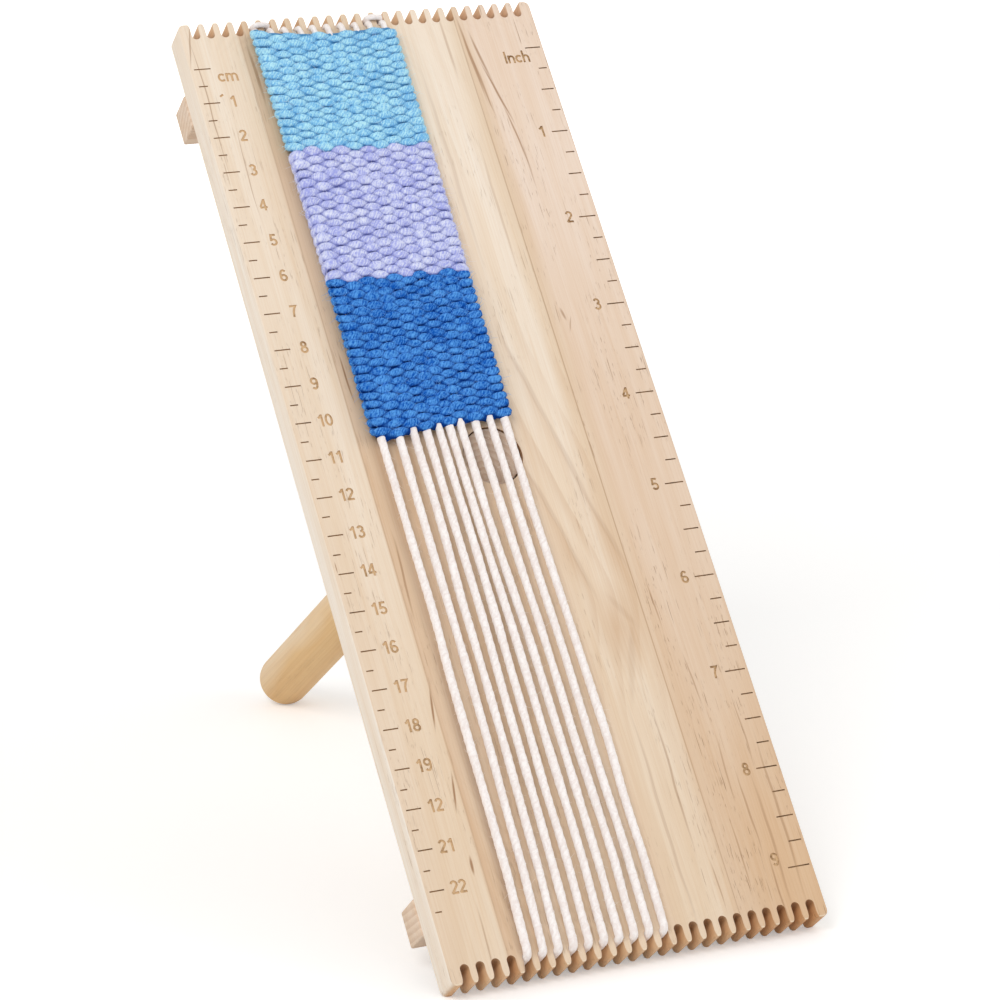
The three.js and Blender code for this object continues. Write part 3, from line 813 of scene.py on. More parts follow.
def sawn_ends(finish, colour, x, z, facing_y):
    """The slots' walls are end grain and warmer. Their rims get a painted highlight and their bottoms painted
    shade.
    """
    tilted = finish.math("ABSOLUTE", facing_y)
    inside = finish.between(finish.math("ABSOLUTE", x), 47.8, 47.2)
    from_end = finish.math("MINIMUM", z, finish.math("SUBTRACT", BOARD_LENGTH / MM, z))
    sawn = finish.math("MULTIPLY", finish.between(tilted, 0.45, 0.1), inside)
    colour = finish.mix(sawn, colour, finish.mix(1.0, colour, END_GRAIN, "MULTIPLY"))
    # Painted highlight: the bevelled rims of the slots near the ends are lightened where their arris catches
    # the light.
    rim_highlight = finish.math("MULTIPLY", finish.between(tilted, 0.97, 0.85), finish.between(tilted, 0.3, 0.5))
    rim_highlight = finish.math("MULTIPLY", finish.math("MULTIPLY", rim_highlight, inside), finish.between(from_end, 6.0, 5.0))
    colour = finish.mix(finish.math("MULTIPLY", rim_highlight, 0.6), colour, PAINTED_RIM_HIGHLIGHT)
    # Painted shade: the slot walls more than 2.4 mm in from the end are darkened, deepest at the slots'
    # bottoms.
    deep = finish.math("MULTIPLY", finish.between(from_end, 2.4, 4.5), sawn)
    return finish.mix(finish.math("MULTIPLY", deep, 0.75), colour, PAINTED_SLOT_SHADE)


# %% Board's finish
SWAY = 2.4
STAVE_SHIFT = 170.0
WARM_CORNER = srgb(216, 180, 140)
# The colour of the painted shadow beside the first warp run.
PAINTED_YARN_SHADOW = srgb(158, 130, 110)
# The colour of the painted light on the board's two side faces.
PAINTED_SIDE_LIGHT = srgb(249, 238, 225)


def board_finish(name):
    """The board's pine. A ring or streak sways a little to the sides, and each stave has its own grain."""
    finish = Finish(name, 0.62)
    place = finish.upright()
    x, y, z = finish.split(place)
    wobble = finish.noise(finish.stretch(place, 0.03, 0.0, 0.035), detail=2.0)
    sway = finish.math("MULTIPLY", finish.math("SUBTRACT", wobble, 0.5), SWAY)
    swayed = finish.join(finish.math("ADD", x, sway), y, z)
    upward = finish.node("MapRange", {"Value": z, "From Min": 20, "From Max": 205}).outputs[0]
    colour = finish.mix(upward, across_board(finish, x, LOW_TONES), across_board(finish, x, TOP_TONES))
    colour = middle_stave(finish, colour, place, swayed)
    warm = finish.math("MULTIPLY", finish.between(z, 62, 8), finish.between(x, 26, 42))
    colour = finish.mix(finish.math("MULTIPLY", warm, 0.6), colour, WARM_CORNER)
    colour = joints_and_streaks(finish, colour, place, swayed)

    # Painted shadow: the wood just left of the first warp run, below the weaving, is darkened where the
    # yarn's shade falls, more towards the bottom.
    beside = finish.math("MULTIPLY", finish.between(x, -31.4, -28.8), finish.between(x, -27.4, -28.2))
    beside = finish.math("MULTIPLY", beside, finish.between(z, 140, 134))
    share = finish.math("MULTIPLY_ADD", finish.between(z, 90, 50), 0.2, 0.28)
    colour = finish.mix(finish.math("MULTIPLY", beside, share), colour, PAINTED_YARN_SHADOW)

    # Painted light: the board's two side faces are lightened almost to white.
    normal = {"Vector": finish.node("TexCoord").outputs["Normal"], "Rotation": (LEAN, 0, 0)}
    facing = finish.node("Mapping", normal, vector_type="VECTOR").outputs[0]
    facing_x, facing_y, _ = finish.split(facing)
    side = finish.between(finish.math("ABSOLUTE", facing_x), 0.5, 0.9)
    side = finish.math("MULTIPLY", side, finish.between(finish.math("ABSOLUTE", x), 47.2, 47.8))
    colour = finish.mix(side, colour, PAINTED_SIDE_LIGHT)

    right_stave = finish.between(x, RIGHT_JOINT - 0.15, RIGHT_JOINT + 0.05)
    stave = finish.math("ADD", finish.between(x, LEFT_JOINT - 0.15, LEFT_JOINT + 0.05), right_stave)
    grain = finish.join(x, y, finish.math("MULTIPLY_ADD", stave, STAVE_SHIFT, z))
    lower = finish.between(z, 150, 20)
    dashes = finish.math("MULTIPLY_ADD", lower, 0.3, 0.25)
    dashes = finish.math("MULTIPLY_ADD", right_stave, dashes, 0.4)
    colour, height = fibres(finish, grain, colour, dashes)
    return finish.finish(sawn_ends(finish, colour, x, z, facing_y), height, 0.06)


# %% Burnt wood
def burnt_finish(name, dark, light):
    """Scorched wood, uneven and paler in the rulers' left half and near the top."""
    finish = Finish(name, 0.8)
    place = finish.upright()
    scorch = finish.noise(finish.stretch(place, 1.3, 1.3, 1.3), detail=3.0)
    blotch = finish.noise(finish.stretch(place, 0.35, 0.35, 0.35, 4.0), detail=1.0)
    share = finish.math("MULTIPLY_ADD", blotch, 0.6, finish.math("MULTIPLY", scorch, 0.6))
    x, _, z = finish.split(place)
    faint = finish.math("MULTIPLY_ADD", finish.between(z, 198, 212), 0.3, 0.11)
    share = finish.math("MULTIPLY_ADD", finish.between(x, 0, -5), faint, share)
    colour = finish.mix(finish.between(share, 0.42, 0.76), dark, light)
    return finish.finish(colour, scorch, 0.05)


pine = board_finish("pine_board")
tick_burn = burnt_finish("burnt_ticks", srgb(112, 82, 52), srgb(158, 122, 86))
figure_burn = burnt_finish("burnt_figures", srgb(148, 112, 74), srgb(212, 178, 136))
board.data.materials.clear()
board.data.materials.append(pine)
for tool, burnt in ((tick_cutter, tick_burn), (figure_cutter, figure_burn)):
    tool.data.materials.clear()
    tool.data.materials.append(burnt)
    apply_modifier(
        board, "BOOLEAN", object=tool, operation="DIFFERENCE", solver="EXACT", use_self=True,
        material_mode="TRANSFER",
    )
    bpy.data.objects.remove(tool)
report(board)

# %% Board on the frame
only(board)
bpy.ops.object.shade_smooth_by_angle(angle=SMOOTH_BELOW)
lean_back(board)
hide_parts("board")
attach(board, "loom_frame")
print(f"board: leaned back {math.degrees(LEAN):.1f} degrees")

# %% [markdown]
# ## Battens
# Two square strips are glued across the back to stiffen the board. Their left ends show beyond the board's
# edge in the picture, so they have end grain and softened edges.

# %% Batten sizes
BATTEN = 9.1 * MM
BATTEN_INSET = 15.2 * MM
BATTEN_ARRIS = 0.5 * MM
GLUE_GAP = 0.3 * MM

# %% Batten finish
BATTEN_HEART = (-4, 190)
BATTEN_RINGS = 1.7


def growth_rings(finish, across, up, heart, spacing, ragged=0.0):
    """Growth rings round the tree's heart, in millimetres. The value goes from 0 to 1 in each ring."""
    across = finish.math("SUBTRACT", across, heart[0])
    up = finish.math("SUBTRACT", up, heart[1])
    squares = finish.math("ADD", finish.math("POWER", across, 2), finish.math("POWER", up, 2))
    radius = finish.math("ADD", finish.math("POWER", squares, 0.5), ragged)
    return finish.math("FRACT", finish.math("MULTIPLY", radius, 1 / spacing))


def late_wood(finish, rings):
    """The dark part of each ring."""
    return finish.math("MULTIPLY", finish.between(rings, 0.1, 0.85), finish.between(rings, 1.0, 0.9))


def batten_finish(name):
    finish = Finish(name, 0.62)
    x, y, z = finish.split(finish.upright())
    rings = growth_rings(finish, y, z, BATTEN_HEART, BATTEN_RINGS)
    share = finish.math("MULTIPLY", late_wood(finish, rings), 0.4)
    colour = finish.mix(share, srgb(236, 215, 195), srgb(205, 171, 140))
    colour, height = fibres(finish, finish.join(z, y, x), colour)
    return finish.finish(colour, height, 0.05)


# %% Two battens
batten_pine = batten_finish("pine_batten")
back = BOARD_THICKNESS + GLUE_GAP
for name, low in (("top_batten", BOARD_LENGTH - BATTEN_INSET - BATTEN), ("bottom_batten", BATTEN_INSET)):
    batten = add_block(
        f"{name}_strip", (-BOARD_WIDTH / 2, back, low), (BOARD_WIDTH / 2, back + BATTEN, low + BATTEN)
    )
    apply_modifier(batten, "BEVEL", width=BATTEN_ARRIS, segments=3, limit_method="ANGLE")
    batten.data.materials.append(batten_pine)
    only(batten)
    bpy.ops.object.shade_smooth_by_angle(angle=SMOOTH_BELOW)
    lean_back(batten)
    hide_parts(name)
    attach(batten, "loom_frame")
    report(batten)

# %% [markdown]
# ## Leg
# The leg is a turned dowel. A cylinder primitive gives the straight part, and the rounded tip is extruded
# from its end face in small steps, each a little narrower, along a quarter of an ellipse.

# %% Leg shape
TIP_STEPS = 8
LEG_ARRIS = 0.4 * MM
straight = LEG_LENGTH - LEG_TIP
bpy.ops.object.select_all(action="DESELECT")
bpy.ops.mesh.primitive_cylinder_add(
    vertices=72, radius=LEG_RADIUS, depth=straight, location=(0, 0, straight / 2)
)
leg = bpy.context.object
leg.name = "leg_dowel"
apply_place(leg)
turns = [math.pi / 2 * step / (TIP_STEPS + 0.6) for step in range(TIP_STEPS + 1)]
rises = [LEG_TIP * (math.sin(b) - math.sin(a)) for a, b in zip(turns, turns[1:])]
grow_tip(leg, rises, [math.cos(turn) for turn in turns], (True, True, False))
bevel_edges(leg, all_at(2, 0), LEG_ARRIS, 2)
report(leg)


# %% Leg finish
LEG_HEART = (-3, -5)
LEG_RINGS = 1.6


def leg_finish(name):
    """Beech, blushed at random and warmer underneath by painted shade. Its rings show at the end that lies
    flush in the board's face.
    """
    finish = Finish(name, 0.55)
    x, y, z = finish.split(finish.upright())
    rise = finish.math("MULTIPLY_ADD", y, -math.tan(LEG_RISE), -BOARD_LENGTH / 2 / MM)
    height = finish.math("ADD", z, rise)
    grain = finish.join(x, height, y)
    ragged = finish.noise(finish.stretch(grain, 0.5, 0.5, 0.02), detail=2.0)
    rings = growth_rings(finish, x, height, LEG_HEART, LEG_RINGS, ragged)
    # The flush end is greyer: end grain's own tone and painted shade from the warp runs in front of it.
    end = finish.between(y, 2.6, 2.0)
    blush = finish.noise(finish.stretch(grain, 0.11, 0.11, 0.04), detail=1.0)
    blush = finish.math("MULTIPLY", finish.between(blush, 0.4, 0.7), 0.5)
    # Painted shade: the leg's underside turns warmer, as its shaded side looks. The blush noise is the wood's
    # own tone.
    under = finish.math("ADD", finish.between(height, 3, -7), blush)
    tone = finish.mix(under, srgb(241, 214, 176), srgb(236, 198, 142))
    tone = finish.mix(end, tone, srgb(212, 196, 182))
    share = finish.math("MULTIPLY", late_wood(finish, rings), finish.math("MULTIPLY_ADD", end, 0.24, 0.06))
    colour = finish.mix(share, tone, srgb(170, 126, 86))
    colour, bump = fibres(finish, grain, colour, 0.15)
    return finish.finish(colour, bump, 0.05)


leg.data.materials.append(leg_finish("leg_wood"))
leg.location = (0, 0, LEG_RADIUS * math.tan(LEG_RISE))
onto_leg_line(leg)
only(leg)
bpy.ops.object.shade_smooth_by_angle(angle=SMOOTH_BELOW)
lean_back(leg)
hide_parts("leg")
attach(leg, "leg")

# %% [markdown]
# ## Where the warp runs
# The warp is one unbroken white yarn. It goes down the front in one slot, behind the board to the next, and
# up again, ten times. The weaving pulls the runs a little together, so each has its own x at a few heights. A
# line through those places is both the yarn's path and what the wool is woven around.

# %% Warp places
FIRST_SLOT = 5
RUNS = 10
HEIGHTS = [3.0, 22.5, 52.5, 82.5, 112.5, 137.0, 178.0, 215.0, 246.0, 252.5]
slots = [slot_x(FIRST_SLOT + run) / MM for run in range(RUNS)]
PLACES = np.array([
    slots,
    [-28.4, -24.1, -20.5, -16.7, -13.1, -9.3, -5.6, -1.7, 2.0, 6.1],
    [-28.2, -23.7, -19.9, -16.3, -12.8, -9.3, -5.6, -1.9, 1.9, 6.0],
    [-27.8, -23.4, -19.5, -15.9, -12.5, -9.3, -5.8, -2.1, 1.6, 5.7],
    [-27.9, -23.3, -19.4, -16.0, -12.6, -9.8, -6.8, -2.8, 1.1, 4.9],
    [-28.0, -23.4, -19.4, -16.0, -12.7, -9.9, -6.9, -3.0, 1.0, 4.8],
    [-28.0, -23.8, -20.0, -16.3, -12.7, -9.4, -6.0, -2.4, 1.5, 5.2],
    [-28.2, -24.2, -20.5, -16.5, -12.9, -9.4, -5.8, -2.1, 1.8, 5.6],
    [-28.5, -24.3, -20.6, -16.7, -13.1, -9.5, -5.8, -2.1, 1.8, 5.7],
    slots,
])


def warp_x(run, z):
    """The x of a run of the warp at a height, in millimetres. run may lie between two whole numbers."""
    low = int(np.clip(math.floor(run), 0, RUNS - 2))
    left = np.interp(z, HEIGHTS, PLACES[:, low])
    right = np.interp(z, HEIGHTS, PLACES[:, low + 1])
    return left + (right - left) * (run - low)


print(f"warp: {RUNS} runs from slot {FIRST_SLOT}")


# %% [markdown]
# ## Yarn as a swept section
# Yarn isn't a smooth tube: it is twisted from strands, it is rough, and it flattens where it bends over
# something. A ring of points is worked out for every step of its path, and the rings are joined into a skin.
# The warp's rings have low lobes that turn as they go, which draws its strands as real ridges, and the wool's
# are rough. Mesh code does this better than a curve's round bevel, because the section changes at every step.
# The UV map runs along the yarn and round it, so that the fibres in the material follow the twist.


# %% Sweep helper
MM_PER_UV = 10


def smooth_piece(name, points, faces, finish):
    """A smooth mesh piece from points in millimetres."""
    mesh = bpy.data.meshes.new(name)
    mesh.from_pydata((points.reshape(-1, 3) * MM).tolist(), [], faces)
    mesh.polygons.foreach_set("use_smooth", [True] * len(mesh.polygons))
    mesh.materials.append(finish)
    piece = bpy.data.objects.new(name, mesh)
    scene.collection.objects.link(piece)
    return piece


def tube_quads(steps, sides):
    """The quads between rings of points, and for each corner its step and its place round the ring."""
    i, j = np.meshgrid(np.arange(steps - 1), np.arange(sides), indexing="ij")
    here, beside = i * sides + j, i * sides + (j + 1) % sides
    quads = np.stack([here, beside, beside + sides, here + sides], -1).reshape(-1, 4)
    return quads, np.stack([i, i, i + 1, i + 1], -1).ravel(), np.stack([j, j + 1, j + 1, j], -1).ravel()


def swept(name, skin, lengths, finish):
    """A closed skin over rings of points. skin is (rings, sides, 3), and all of it is in millimetres."""
    steps, sides = skin.shape[:2]
    quads, step, around = tube_quads(steps, sides)
    caps = [tuple(range(sides - 1, -1, -1)), tuple(range((steps - 1) * sides, steps * sides))]
    piece = smooth_piece(name, skin, quads.tolist() + caps, finish)
    uv = np.zeros((len(piece.data.loops), 2), np.float32)
    uv[: len(around), 0] = lengths[step] / MM_PER_UV
    uv[: len(around), 1] = around / sides
    piece.data.uv_layers.new(name="along_yarn").data.foreach_set("uv", uv.ravel())
    return piece


def path_lengths(points):
    """The length of a line up to each of its points."""
    steps = np.linalg.norm(np.diff(points, axis=0), axis=1)
    return np.concatenate([[0], np.cumsum(steps)])


def in_unit(vectors):
    """The same directions, each with length 1."""
    return vectors / np.linalg.norm(vectors, axis=1)[:, None]


# %% Yarn finish
LEFT_OPEN, RIGHT_OPEN, FRONT_OPEN = (-29.4, -30.2), (6.4, 7.2), (-2.95, -3.6)


def yarn_finish(name, light, dark, plies, spacing, relief, strands=0.12, deep=None):
    """Wool or cotton, with strands that wind round the yarn, fine fibres along them and fuzzy flecks.

    deep is the colour of the hollows between the bumps of the weaving, where little light gets in.
    """
    finish = Finish(name, 0.9, Sheen_Weight=0.15, Sheen_Tint=light, Specular_IOR_Level=0.06)
    u, v, _ = finish.split(finish.node("UVMap", uv_map="along_yarn").outputs[0])
    along = finish.math("MULTIPLY", u, MM_PER_UV)
    twist = finish.math("MULTIPLY", along, 1 / spacing)
    turn = finish.math("SUBTRACT", finish.math("MULTIPLY", v, plies), twist)
    place = finish.node("TexCoord").outputs["Object"]
    wander = finish.noise(finish.stretch(place, 420, 420, 420, 9.0), detail=1.0)
    turn = finish.math("MULTIPLY_ADD", wander, 2.4, turn)
    strand = finish.math("SINE", finish.math("MULTIPLY", turn, 2 * math.pi))
    strand = finish.math("POWER", finish.math("MULTIPLY_ADD", strand, 0.5, 0.5), 0.6)
    follow = finish.join(finish.math("MULTIPLY", turn, 2.7), finish.math("MULTIPLY", along, 0.5), 0.0)
    hairs = finish.noise(follow, detail=4.0, roughness=0.7)
    flecks = finish.noise(finish.stretch(place, 1450, 1450, 1450), detail=2.0, roughness=0.6)
    patch = finish.noise(finish.stretch(place, 260, 260, 260), detail=2.0)
    shade = finish.math("MULTIPLY_ADD", strand, strands, finish.math("MULTIPLY", hairs, 0.6))
    shade = finish.math("MULTIPLY_ADD", flecks, 0.62, shade)
    shade = finish.math("MULTIPLY_ADD", patch, 0.45, shade)
    middle = 0.68 * strands + 0.83
    colour = finish.mix(finish.between(shade, middle - 0.21, middle + 0.21), dark, light)
    if deep is not None:
        x, y, _ = finish.split(finish.upright())
        outside = finish.math("MAXIMUM", finish.between(x, *LEFT_OPEN), finish.between(x, *RIGHT_OPEN))
        outside = finish.math("MAXIMUM", outside, finish.between(y, *FRONT_OPEN))
        colour = finish.mix(outside, deep, colour)
    height = finish.math("MULTIPLY_ADD", hairs, 1.3, finish.math("MULTIPLY", strand, 0.45))
    height = finish.math("MULTIPLY_ADD", flecks, 1.1, height)
    return finish.finish(colour, height, relief)


# %% [markdown]
# ## Fuzz
# Spun wool is never smooth. Thin hairs stand off it, catch the light and soften every outline. Each hair here
# is a closed three-sided tube with few faces, rooted at a random place on the yarn's skin.

# %% Fuzz helper
rng = np.random.RandomState(11)
HAIR_RADIUS = 0.045
HAIR_STEPS = 5
HAIR_SIDES = 3
HAIR_THINNING = 0.65
ROOT_DEPTH = 0.15
RISE, ALONG_SPREAD, SIDE_SPREAD, BEND_SPREAD = 0.55, 0.9, 0.35, 0.55


def pick_roots(skin, count, wanted):
    """Random places on a yarn where wanted(points, outward) is true, each with outward and along."""
    rings, sides = skin.shape[:2]
    middles = skin.mean(1)
    ring = rng.randint(2, rings - 2, count * 6)
    side = rng.randint(0, sides, count * 6)
    roots = skin[ring, side]
    outward = in_unit(roots - middles[ring])
    keep = np.nonzero(wanted(roots, outward))[0][:count]
    ring = ring[keep]
    return roots[keep], outward[keep], in_unit(middles[ring + 1] - middles[ring - 1])


def hair_tubes(roots, outward, along, reach):
    """Rings of points round every hair, which leaves the yarn at a slant and bends. reach is the longest."""
    count = len(roots)
    slant = along * rng.normal(0, ALONG_SPREAD, count)[:, None] + rng.normal(0, SIDE_SPREAD, (count, 3))
    start = in_unit(outward * RISE + slant)
    bend = (rng.normal(0, BEND_SPREAD, (count, 3)) + outward * 0.1) * 0.7
    length = reach * rng.uniform(0.35, 1.0, count)
    steps = np.linspace(0, 1, HAIR_STEPS)[None, :, None]
    line = start[:, None] * steps + bend[:, None] * steps ** 2
    spine = (roots - outward * ROOT_DEPTH)[:, None] + line * length[:, None, None]
    across = in_unit(np.cross(start, rng.normal(0, 1, (count, 3))))
    other = np.cross(start, across)
    turns = np.arange(HAIR_SIDES)[:, None] * 2 * math.pi / HAIR_SIDES
    ring = across[:, None, None] * np.cos(turns) + other[:, None, None] * np.sin(turns)
    wide = HAIR_RADIUS * (1 - HAIR_THINNING * steps[..., None])
    return spine[:, :, None] + wide * ring


def add_fuzz(name, skin, count, reach, finish, wanted):
    """Hairs on a yarn, whose skin is given as rings of points in millimetres."""
    roots, outward, along = pick_roots(skin, count, wanted)
    tubes = hair_tubes(roots, outward, along, reach)
    base = np.arange(len(roots))[:, None, None] * HAIR_STEPS * HAIR_SIDES
    last = (HAIR_STEPS - 1) * HAIR_SIDES
    caps = np.array([[2, 1, 0], [last, last + 1, last + 2]])
    quads = (base + tube_quads(HAIR_STEPS, HAIR_SIDES)[0]).reshape(-1, 4)
    faces = quads.tolist() + (base + caps).reshape(-1, 3).tolist()
    print(f"{name}: {len(roots)} hairs")
    return smooth_piece(name, tubes, faces, finish)


def fuzz_finish(name, light, dark):
    finish = Finish(name, 0.9, Sheen_Weight=0.3, Sheen_Tint=light, Specular_IOR_Level=0.1)
    patch = finish.noise(finish.stretch(finish.node("TexCoord").outputs["Object"], 300, 300, 300))
    return finish.finish(finish.mix(finish.between(patch, 0.35, 0.65), dark, light))


# %% [markdown]
# ## The weaving
# It is plain weave, packed so hard that the wool hides the warp. A pick is one pass of wool from edge to
# edge. It goes over one run of the warp and under the next, and the following pick does the opposite, which
# makes the brickwork of plump bumps. Each colour is one yarn: it turns round the outer run at the end of a
# pick and comes back below. The wool moves only a little to the front and back, because packed rows press on
# each other, and each bump differs a little in place, depth, fullness and slant, as in a hand weaving.

# %% Weave levels
CLOTH_MIDDLE = -2.25
EDGE_PLACES = (0, 0.1, 0.25, 0.5, 1)
EDGES = {
    "top": (249.9, 249.7, 249.0, 248.2, 248.9),
    "light_blue": (215.8, 215.6, 215.2, 214.6, 214.1),
    "lavender": (177.9, 177.9, 177.9, 177.9, 177.7),
    "blue": (134.5, 134.9, 136.1, 136.5, 137.2),
}


def edge_height(name, across):
    """The height of a colour's edge. across runs from 0 at the left selvedge to 1 at the right one."""
    return np.interp(across, EDGE_PLACES, EDGES[name])


# %% Pick sizes
STEPS_PER_RUN = 12
PICK_HEIGHT = 1.2
BUMP_DEPTH = 0.58
DEPTH_SPREAD = 0.22
LIFT_SPREAD = 0.12
TILT_SPREAD = 0.14
PLUMP_SPREAD = 0.09
LEAST_PLUMP, MOST_PLUMP = 0.93, 1.25
TURN_REACH = 1.3
CROSSING_FULLNESS = 0.96
BUMP_FULLNESS = 0.3
BACK_FULLNESS = 0.14
LAST = RUNS - 1


def in_front(u, pick):
    """Whether a pick passes in front of the warp at run u."""
    return math.cos(math.pi * (u + pick)) > 0


def pick_stations(pick, picks, first_pick):
    """The places along one pick, counted in runs of the warp, in the order in which the wool passes them."""
    low, high = -0.5, LAST + 0.5
    left_to_right = pick % 2 == 0
    if pick == 0:
        low = -1.0 if in_front(0, first_pick) else 0.0
    if pick == picks - 1 and left_to_right:
        high = LAST + 1.0 if in_front(LAST, pick + first_pick) else LAST
    elif pick == picks - 1:
        low = -1.0 if in_front(0, pick + first_pick) else 0.0
    stations = np.linspace(low, high, int(round((high - low) * STEPS_PER_RUN)) + 1)
    stations = stations if left_to_right else stations[::-1]
    return stations[1:] if pick else stations


def share_down(u, pick, picks):
    """How far down its colour the wool is, from 0 to 1. At a selvedge it moves half a pick on."""
    share, before, after = ((pick + step) / picks for step in (0.5, -0.5, 1.5))
    edge = min(max(0.0, -u, u - LAST) * 2, 1.0)
    left_to_right = pick % 2 == 0
    target = after if (u > RUNS / 2) == left_to_right else before
    return share + (target - share) * 0.5 * edge ** 2


# %% Woven path
def weave(name, over, under, picks, first_pick):
    """The middle line of one colour's wool and its half height. over and under name its two edges."""
    centre, height = [], []
    bumps = (picks + 1, RUNS + 2)
    lift = rng.normal(0, LIFT_SPREAD, bumps)
    plump = np.clip(rng.normal(1, PLUMP_SPREAD, bumps), LEAST_PLUMP, MOST_PLUMP)
    deep = rng.normal(1, DEPTH_SPREAD, bumps)
    tilt = rng.normal(0, TILT_SPREAD, bumps)
    for pick in range(picks):
        for u in pick_stations(pick, picks, first_pick):
            across = (u + 0.5) / RUNS
            top, bottom = edge_height(over, across), edge_height(under, across)
            z = top + (bottom - top) * share_down(u, pick, picks)
            run = np.clip(u, 0, LAST)
            near = int(np.clip(round(u), 0, LAST))
            wave = math.cos(math.pi * (u + pick + first_pick))
            bump = abs(wave) if u == run else 1.0
            beyond = TURN_REACH * math.sin(math.pi * (u - run))
            sway = (lift[pick, near] + tilt[pick, near] * (run - near) * 2) * bump
            y = CLOTH_MIDDLE - BUMP_DEPTH * deep[pick, near] * wave
            centre.append((warp_x(run, z) + beyond, y, z + sway))
            packing = (top - bottom) / picks / PICK_HEIGHT
            fullness = 1 + (plump[pick, near] - 1) * bump + BACK_FULLNESS * max(0.0, -wave)
            height.append((CROSSING_FULLNESS + BUMP_FULLNESS * bump ** 0.9) * packing * fullness)
    print(f"{name}: {picks} picks, {path_lengths(centre)[-1] / 1000:.2f} m of wool")
    return np.array(centre), np.array(height)


# %% Wool's skin
WOOL_SIDES = 20
WOOL_HALF_DEPTH = 1.12
ROUGHNESS = 0.042


def wool_skin(centre, height):
    """Rough oval rings round the wool's middle line, which stand upright and turn with the line."""
    tangent = np.gradient(centre, axis=0)
    tangent[:, 2] = 0
    tangent = in_unit(tangent)
    normal = np.stack([tangent[:, 1], -tangent[:, 0], np.zeros(len(tangent))], 1)
    angles = np.arange(WOOL_SIDES) * 2 * math.pi / WOOL_SIDES
    rough = rng.normal(0, ROUGHNESS, (len(centre) + 2, WOOL_SIDES))
    beside = (np.roll(rough, 1, 1) - np.roll(rough, 2, 1))[1:-1]
    swell = 1 + (rough[:-2] + 2 * rough[1:-1] + rough[2:]) / 4 + 0.25 * beside
    outward = normal[:, None] * (np.cos(angles) * WOOL_HALF_DEPTH * swell)[..., None]
    upward = np.array([0, 0, 1.0]) * (np.sin(angles) * height[:, None] * swell)[..., None]
    return centre[:, None] + outward + upward


# %% Three colours of wool
PLIES = 6
PLY_SPACING = 0.62
HAIR_COUNT = 3000
HAIR_REACH = 1.9
FRONT_SHARE = 0.35
COLOURS = [
    ("light_blue", "top", 29, (192, 242, 255), (114, 183, 234), (76, 142, 194), (224, 242, 255)),
    ("lavender", "light_blue", 29, (228, 233, 255), (163, 170, 235), (118, 125, 190), (242, 240, 255)),
    ("blue", "lavender", 36, (94, 166, 240), (8, 86, 182), (2, 54, 134), (140, 192, 250)),
]


def on_cloth_surface(points, outward):
    """True on the cloth's two selvedges, and on a share of its front."""
    front = (points[:, 1] < CLOTH_MIDDLE - 1.0) & (outward[:, 1] < -0.2)
    front &= rng.uniform(size=len(points)) < FRONT_SHARE
    left = (points[:, 0] < PLACES[:, 0].max() - 1.2) & (outward[:, 0] < -0.5)
    right = (points[:, 0] > 7.0) & (outward[:, 0] > 0.5)
    return front | left | right


first_pick = 0
for name, over, picks, *tones in COLOURS:
    light, dark, deep, pale = (srgb(*tone) for tone in tones)
    centre, height = weave(name, over, name, picks, first_pick)
    skin = wool_skin(centre, height)
    finish = yarn_finish(f"{name}_wool", light, dark, PLIES, PLY_SPACING, 0.1, deep=deep)
    wool = swept(f"{name}_weaving", skin, path_lengths(centre), finish)
    wool.data.flip_normals()    # its rings turn the other way round than the warp's
    finish = fuzz_finish(f"{name}_hair", pale, light)
    fuzz = add_fuzz(f"{name}_fuzz", skin, HAIR_COUNT, HAIR_REACH, finish, on_cloth_surface)
    for piece in (wool, fuzz):
        lean_back(piece)
        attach(piece, "loom_frame")
        report(piece)
    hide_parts(f"weft_{name}")
    first_pick += picks

# %% [markdown]
# ## The warp yarn
# Its path is first written as corners, as a hand would string it: down the front, round the end of the board
# through a slot, across behind to the next slot, and up the front again. Every corner is then rounded to a
# radius that the yarn can bend to.

# %% Warp sizes
YARN_RADIUS = 1.0
YARN_GAP = 0.15
FRONT = -(YARN_RADIUS + YARN_GAP)
BEHIND = BOARD_THICKNESS / MM + YARN_RADIUS + YARN_GAP
TOP_FRONT = -0.95
LOW_REST = 3.6
TOP_REST = BOARD_LENGTH / MM - 3.8
CLOTH_FOOT = 137.0
CLOTH_FROM = HEIGHTS.index(CLOTH_FOOT)
WRAP_RISE = 1.5
TAIL = 8
BEND, FRONT_BEND, CLOTH_BEND, LONG_BEND = 1.3, 1.0, 6.0, 20.0


# %% Warp route
def front_run(run):
    """Corners of one run from the top slot to the bottom one, as (x, y, z, radius)."""
    x = slots[run]
    corners = [(x, BEHIND, TOP_REST, BEND), (x, TOP_FRONT, TOP_REST, FRONT_BEND)]
    for z in HEIGHTS[-2:CLOTH_FROM - 1:-1]:
        corners.append((warp_x(run, z), CLOTH_MIDDLE, z, CLOTH_BEND))
    for z in HEIGHTS[CLOTH_FROM - 1:0:-1]:
        y = FRONT + (CLOTH_MIDDLE - FRONT) * z / CLOTH_FOOT
        corners.append((warp_x(run, z), y, z, LONG_BEND))
    return corners + [(x, FRONT, LOW_REST, BEND), (x, BEHIND, LOW_REST, BEND)]


def end_wrap(run, side):
    """The end of the yarn, tied round the tooth beside its slot, and its tail."""
    here, there = slots[run], slots[run + side]
    high = TOP_REST + WRAP_RISE
    return [
        (here - side * TAIL, BEHIND, high, 0), (here, BEHIND, high, BEND),
        (here, TOP_FRONT, high, FRONT_BEND), (there, TOP_FRONT, high, FRONT_BEND),
        (there, BEHIND, high, BEND), (here, BEHIND, TOP_REST, BEND),
    ]


